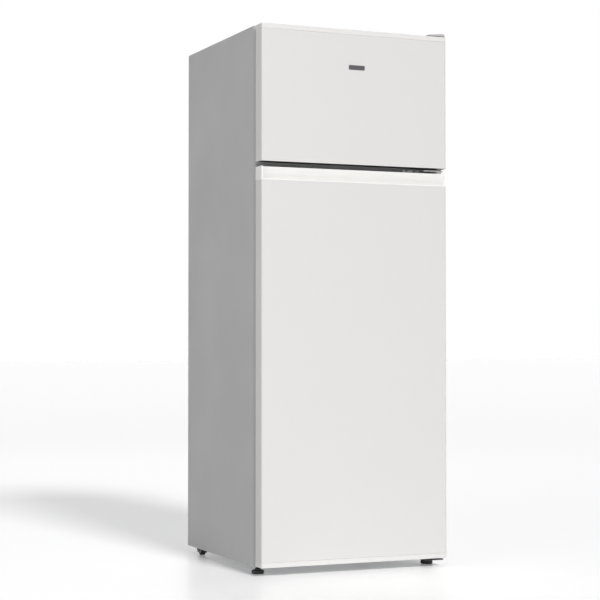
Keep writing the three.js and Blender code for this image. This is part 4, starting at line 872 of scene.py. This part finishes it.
# ------------------------------------------------------------------ cooling unit
def build_compressor():
    """Hermetic shell: a superellipse in plan, |x / a|^2.6 + |y / b|^2.6 = 1, under a domed profile with a
    weld flange, on two pressed feet with rubber bushes."""
    (x0, x1), (y0, y1), (z0, z1) = span("compressor")
    centre = np.array([(x0 + x1) / 2, (y0 + y1) / 2])
    tall = z1 - z0
    lower = fillet([(4, 4), (52, 4), (84, 24), (88, 0.42 * tall)], [0, 30, 30, 0], 8, closed=False)
    flange = fillet([(88, 0.42 * tall), (92, 0.42 * tall), (92, 0.455 * tall), (87, 0.455 * tall)],
                    [0, 1.4, 1.4, 0], 4, closed=False)
    upper = fillet([(87, 0.455 * tall), (86, 0.8 * tall), (46, tall), (4, tall)], [0, 34, 40, 0], 10,
                   closed=False)
    outline = np.concatenate([lower, flange[1:], upper[1:]])
    angle = np.linspace(0, 2 * np.pi, 96, endpoint=False)
    power = 2 / 2.6
    u = np.sign(np.cos(angle)) * np.abs(np.cos(angle)) ** power
    v = np.sign(np.sin(angle)) * np.abs(np.sin(angle)) ** power
    wide = (y1 - y0) / (x1 - x0)
    rings = np.stack([centre[0] + outline[:, :1] * u, centre[1] + outline[:, :1] * v * wide,
                      z0 + outline[:, 1:] + 0 * u], -1)
    shells = [skin(rings)]
    bushes = []
    for side in (-1, 1):
        leg = centre[0] + side * 78
        shells.append(slab((leg - 14, leg + 14), (y0, y1), 8, (z0 + 1, z0 + 4), 0.8))
        for end in (y0 + 11, y1 - 11):
            bushes.append(turned([(3, -8), (9, -8), (9.4, -7), (9.4, -1), (7, 0.8), (7, 3.6), (8.6, 4.4),
                                  (8.6, 7), (7.6, 8), (3, 8)], (leg, end, z0), sides=32))
            bushes.append(turned([(0.5, 8), (5.6, 8), (5.6, 10.4), (5, 11), (2.6, 11), (2.4, 13), (0.5, 13)],
                                 (leg, end, z0), sides=6))
    stub = [(x1 - 20, y1 - 42, z0 + 60), (x1 - 4, y1 - 36, z0 + 60), (x1 - 2, y1 - 36, z0 + 96)]
    shells.append(tube(stub, 6, 3))
    piece("sealed_compressor", shells, "cabinet", "black_steel", "compressor")
    piece("compressor_bushes", bushes, "cabinet", "black_plastic")

    (x0, x1), y, z = span("compressor_relay_cover")
    x0 += 13
    shells = [slab(y, z, 5, (x0, x1), 2.2, "x"),
              slab((y[0] - 1.4, y[1] + 1.4), (z[0] + 28, z[0] + 36), 2, (x0 + 4, x1 - 6), 0.6, "x")]
    gland_y, gland_z = y[1] - 18, z[0] + 16
    shells.append(turned([(4.2, x0 - 13), (6.4, x0 - 13), (6.8, x0 - 12), (6.8, x0 - 7), (8, x0 - 6),
                          (8, x0 + 1), (4.2, x0 + 1)], (0, gland_y, gland_z), "x", sides=32))
    piece("relay_cover", shells, "cabinet", "black_plastic", "compressor_relay_cover")


def build_drip_tray():
    x, y, (z0, z1) = span("drip_tray")
    profile = fillet([(10, z0), (3, z0), (1.4, z1 - 3), (0, z1 - 3), (0, z1), (1.6, z1), (4.4, z0 + 1.8),
                      (12, z0 + 1.8)], [0, 3, 0.8, 0.3, 0.5, 0.5, 3, 0], 4, closed=False)
    piece("evaporation_tray", [loft(x, y, 14, profile)], "cabinet", "black_plastic", "drip_tray")
    x, y, (z0, z1) = span("drain_tube")
    radius = (x[1] - x[0]) / 2
    section = fillet([(radius - 1.5, z0), (radius, z0), (radius, z1), (radius - 1.5, z1)], 0.5, 3)
    wall = turned(section, (sum(x) / 2, sum(y) / 2, 0), sides=40, wrap=True)
    piece("defrost_drain", [wall], "cabinet", "grey_plastic", "drain_tube")


def build_piping():
    """Condenser hairpins behind the foam, and the lines to and from the compressor."""
    pipe = 2.4
    (x0, x1), (y0, y1), (z0, z1) = span("condenser_coil")
    side, plane, runs = x1 - pipe, (y0 + y1) / 2, 10
    low, high = span("back_panel")[2][0] + 40, z1 - pipe
    corners = [(-side, plane, z0)]
    for k in range(runs):
        x = -side + 2 * side * k / (runs - 1)
        ends = (low, high) if k % 2 == 0 else (high, low)
        corners += [(x, plane, height) for height in ends[(k == 0):]]
    corners[-1] = (side, plane, z0)
    piece("condenser_hairpins", [tube(corners, 18, pipe, 12)], "cabinet", "black_steel", "condenser_coil")

    (cx0, cx1), (cy0, cy1), (cz0, _) = span("compressor")
    cx, cy = (cx0 + cx1) / 2, (cy0 + cy1) / 2
    port, back = cz0 + 50, span("discharge_tube")[1][1] - pipe
    corners = [(cx + 40, cy1 - 8, port), (cx + 40, back, port), (side, back, port),
               (side, plane - 0.5, z0 - 32), (side, plane, z0 - 0.3)]
    piece("discharge_line", [tube(corners, 5, pipe)], "cabinet", "copper_tube", "discharge_tube")
    _, (sy0, _), (_, sz1) = span("suction_tube")
    radius, drop = 3.2, span("suction_tube")[1][1] - 3.2
    corners = [(cx1 - 6, cy + 6, port + 20), (cx1 + 26, cy + 6, port + 20), (cx1 + 26, drop, port + 45),
               (cx + 4, drop, 199), (cx + 4, drop, sz1 - radius), (cx + 4, sy0 + 30, sz1 - radius)]
    piece("suction_line", [tube(corners, 9, radius)], "cabinet", "copper_tube", "suction_tube")
    x, y, (z0, _) = span("filter_drier")
    profile = fillet([(0.4, 0), (2, 0), (2, 12), (9, 24), (9, 94), (3, 108), (3, 120), (0.4, 120)],
                     [0, 0.4, 4, 5, 8, 3, 0.4, 0], 4, closed=False)
    piece("drier_cartridge", [turned(profile, (sum(x) / 2, sum(y) / 2, z0), sides=40)], "cabinet",
          "copper_tube", "filter_drier")


# ------------------------------------------------------------------ frame nodes that keep their own shape
KEPT = {
    "front_base_rail": "galvanised_sheet", "bottom_plate": "galvanised_sheet",
    "compressor_base": "black_steel", "cabinet_foam": "insulation_foam",
    "freezer_door_foam": "insulation_foam", "fridge_door_foam": "insulation_foam",
    "freezer_evaporator": "aluminium_plate", "fridge_evaporator": "aluminium_plate",
}


def finish_kept_nodes():
    for name, slot in KEPT.items():
        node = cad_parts[name]
        for place in node.material_slots:
            place.material = materials[slot]


def floor_finish():
    """Opal acrylic light table: white, satin, and lit softly from below, so shadows on it stay pale."""
    material, _, shader, _ = started("opal_light_table", "f6f6f6", 0.3, ior=1.3)
    shader.inputs["Emission Color"].default_value = linear("ffffff")
    shader.inputs["Emission Strength"].default_value = FLOOR_GLOW
    return material


def build_floor():
    """Plain pale studio floor, a little reflective."""
    mesh = mesh_of("floor", [slab((-30000, 30000), (-20000, 40000), 1, (-20, 0), 0.5, steps=1)])
    floor = bpy.data.objects.new("floor", mesh)
    bpy.context.scene.collection.objects.link(floor)
    floor.data.materials.append(floor_finish())


for build in (build_camera, build_studio, build_floor, build_side_panels, build_top_panel, build_back_panel,
              build_mullion_cover, build_liners, build_shelves, build_crisper_drawer, build_controls,
              build_freezer_door, build_fridge_door, build_hinges, build_feet, build_rollers,
              build_compressor, build_drip_tray, build_piping, finish_kept_nodes):
    build()
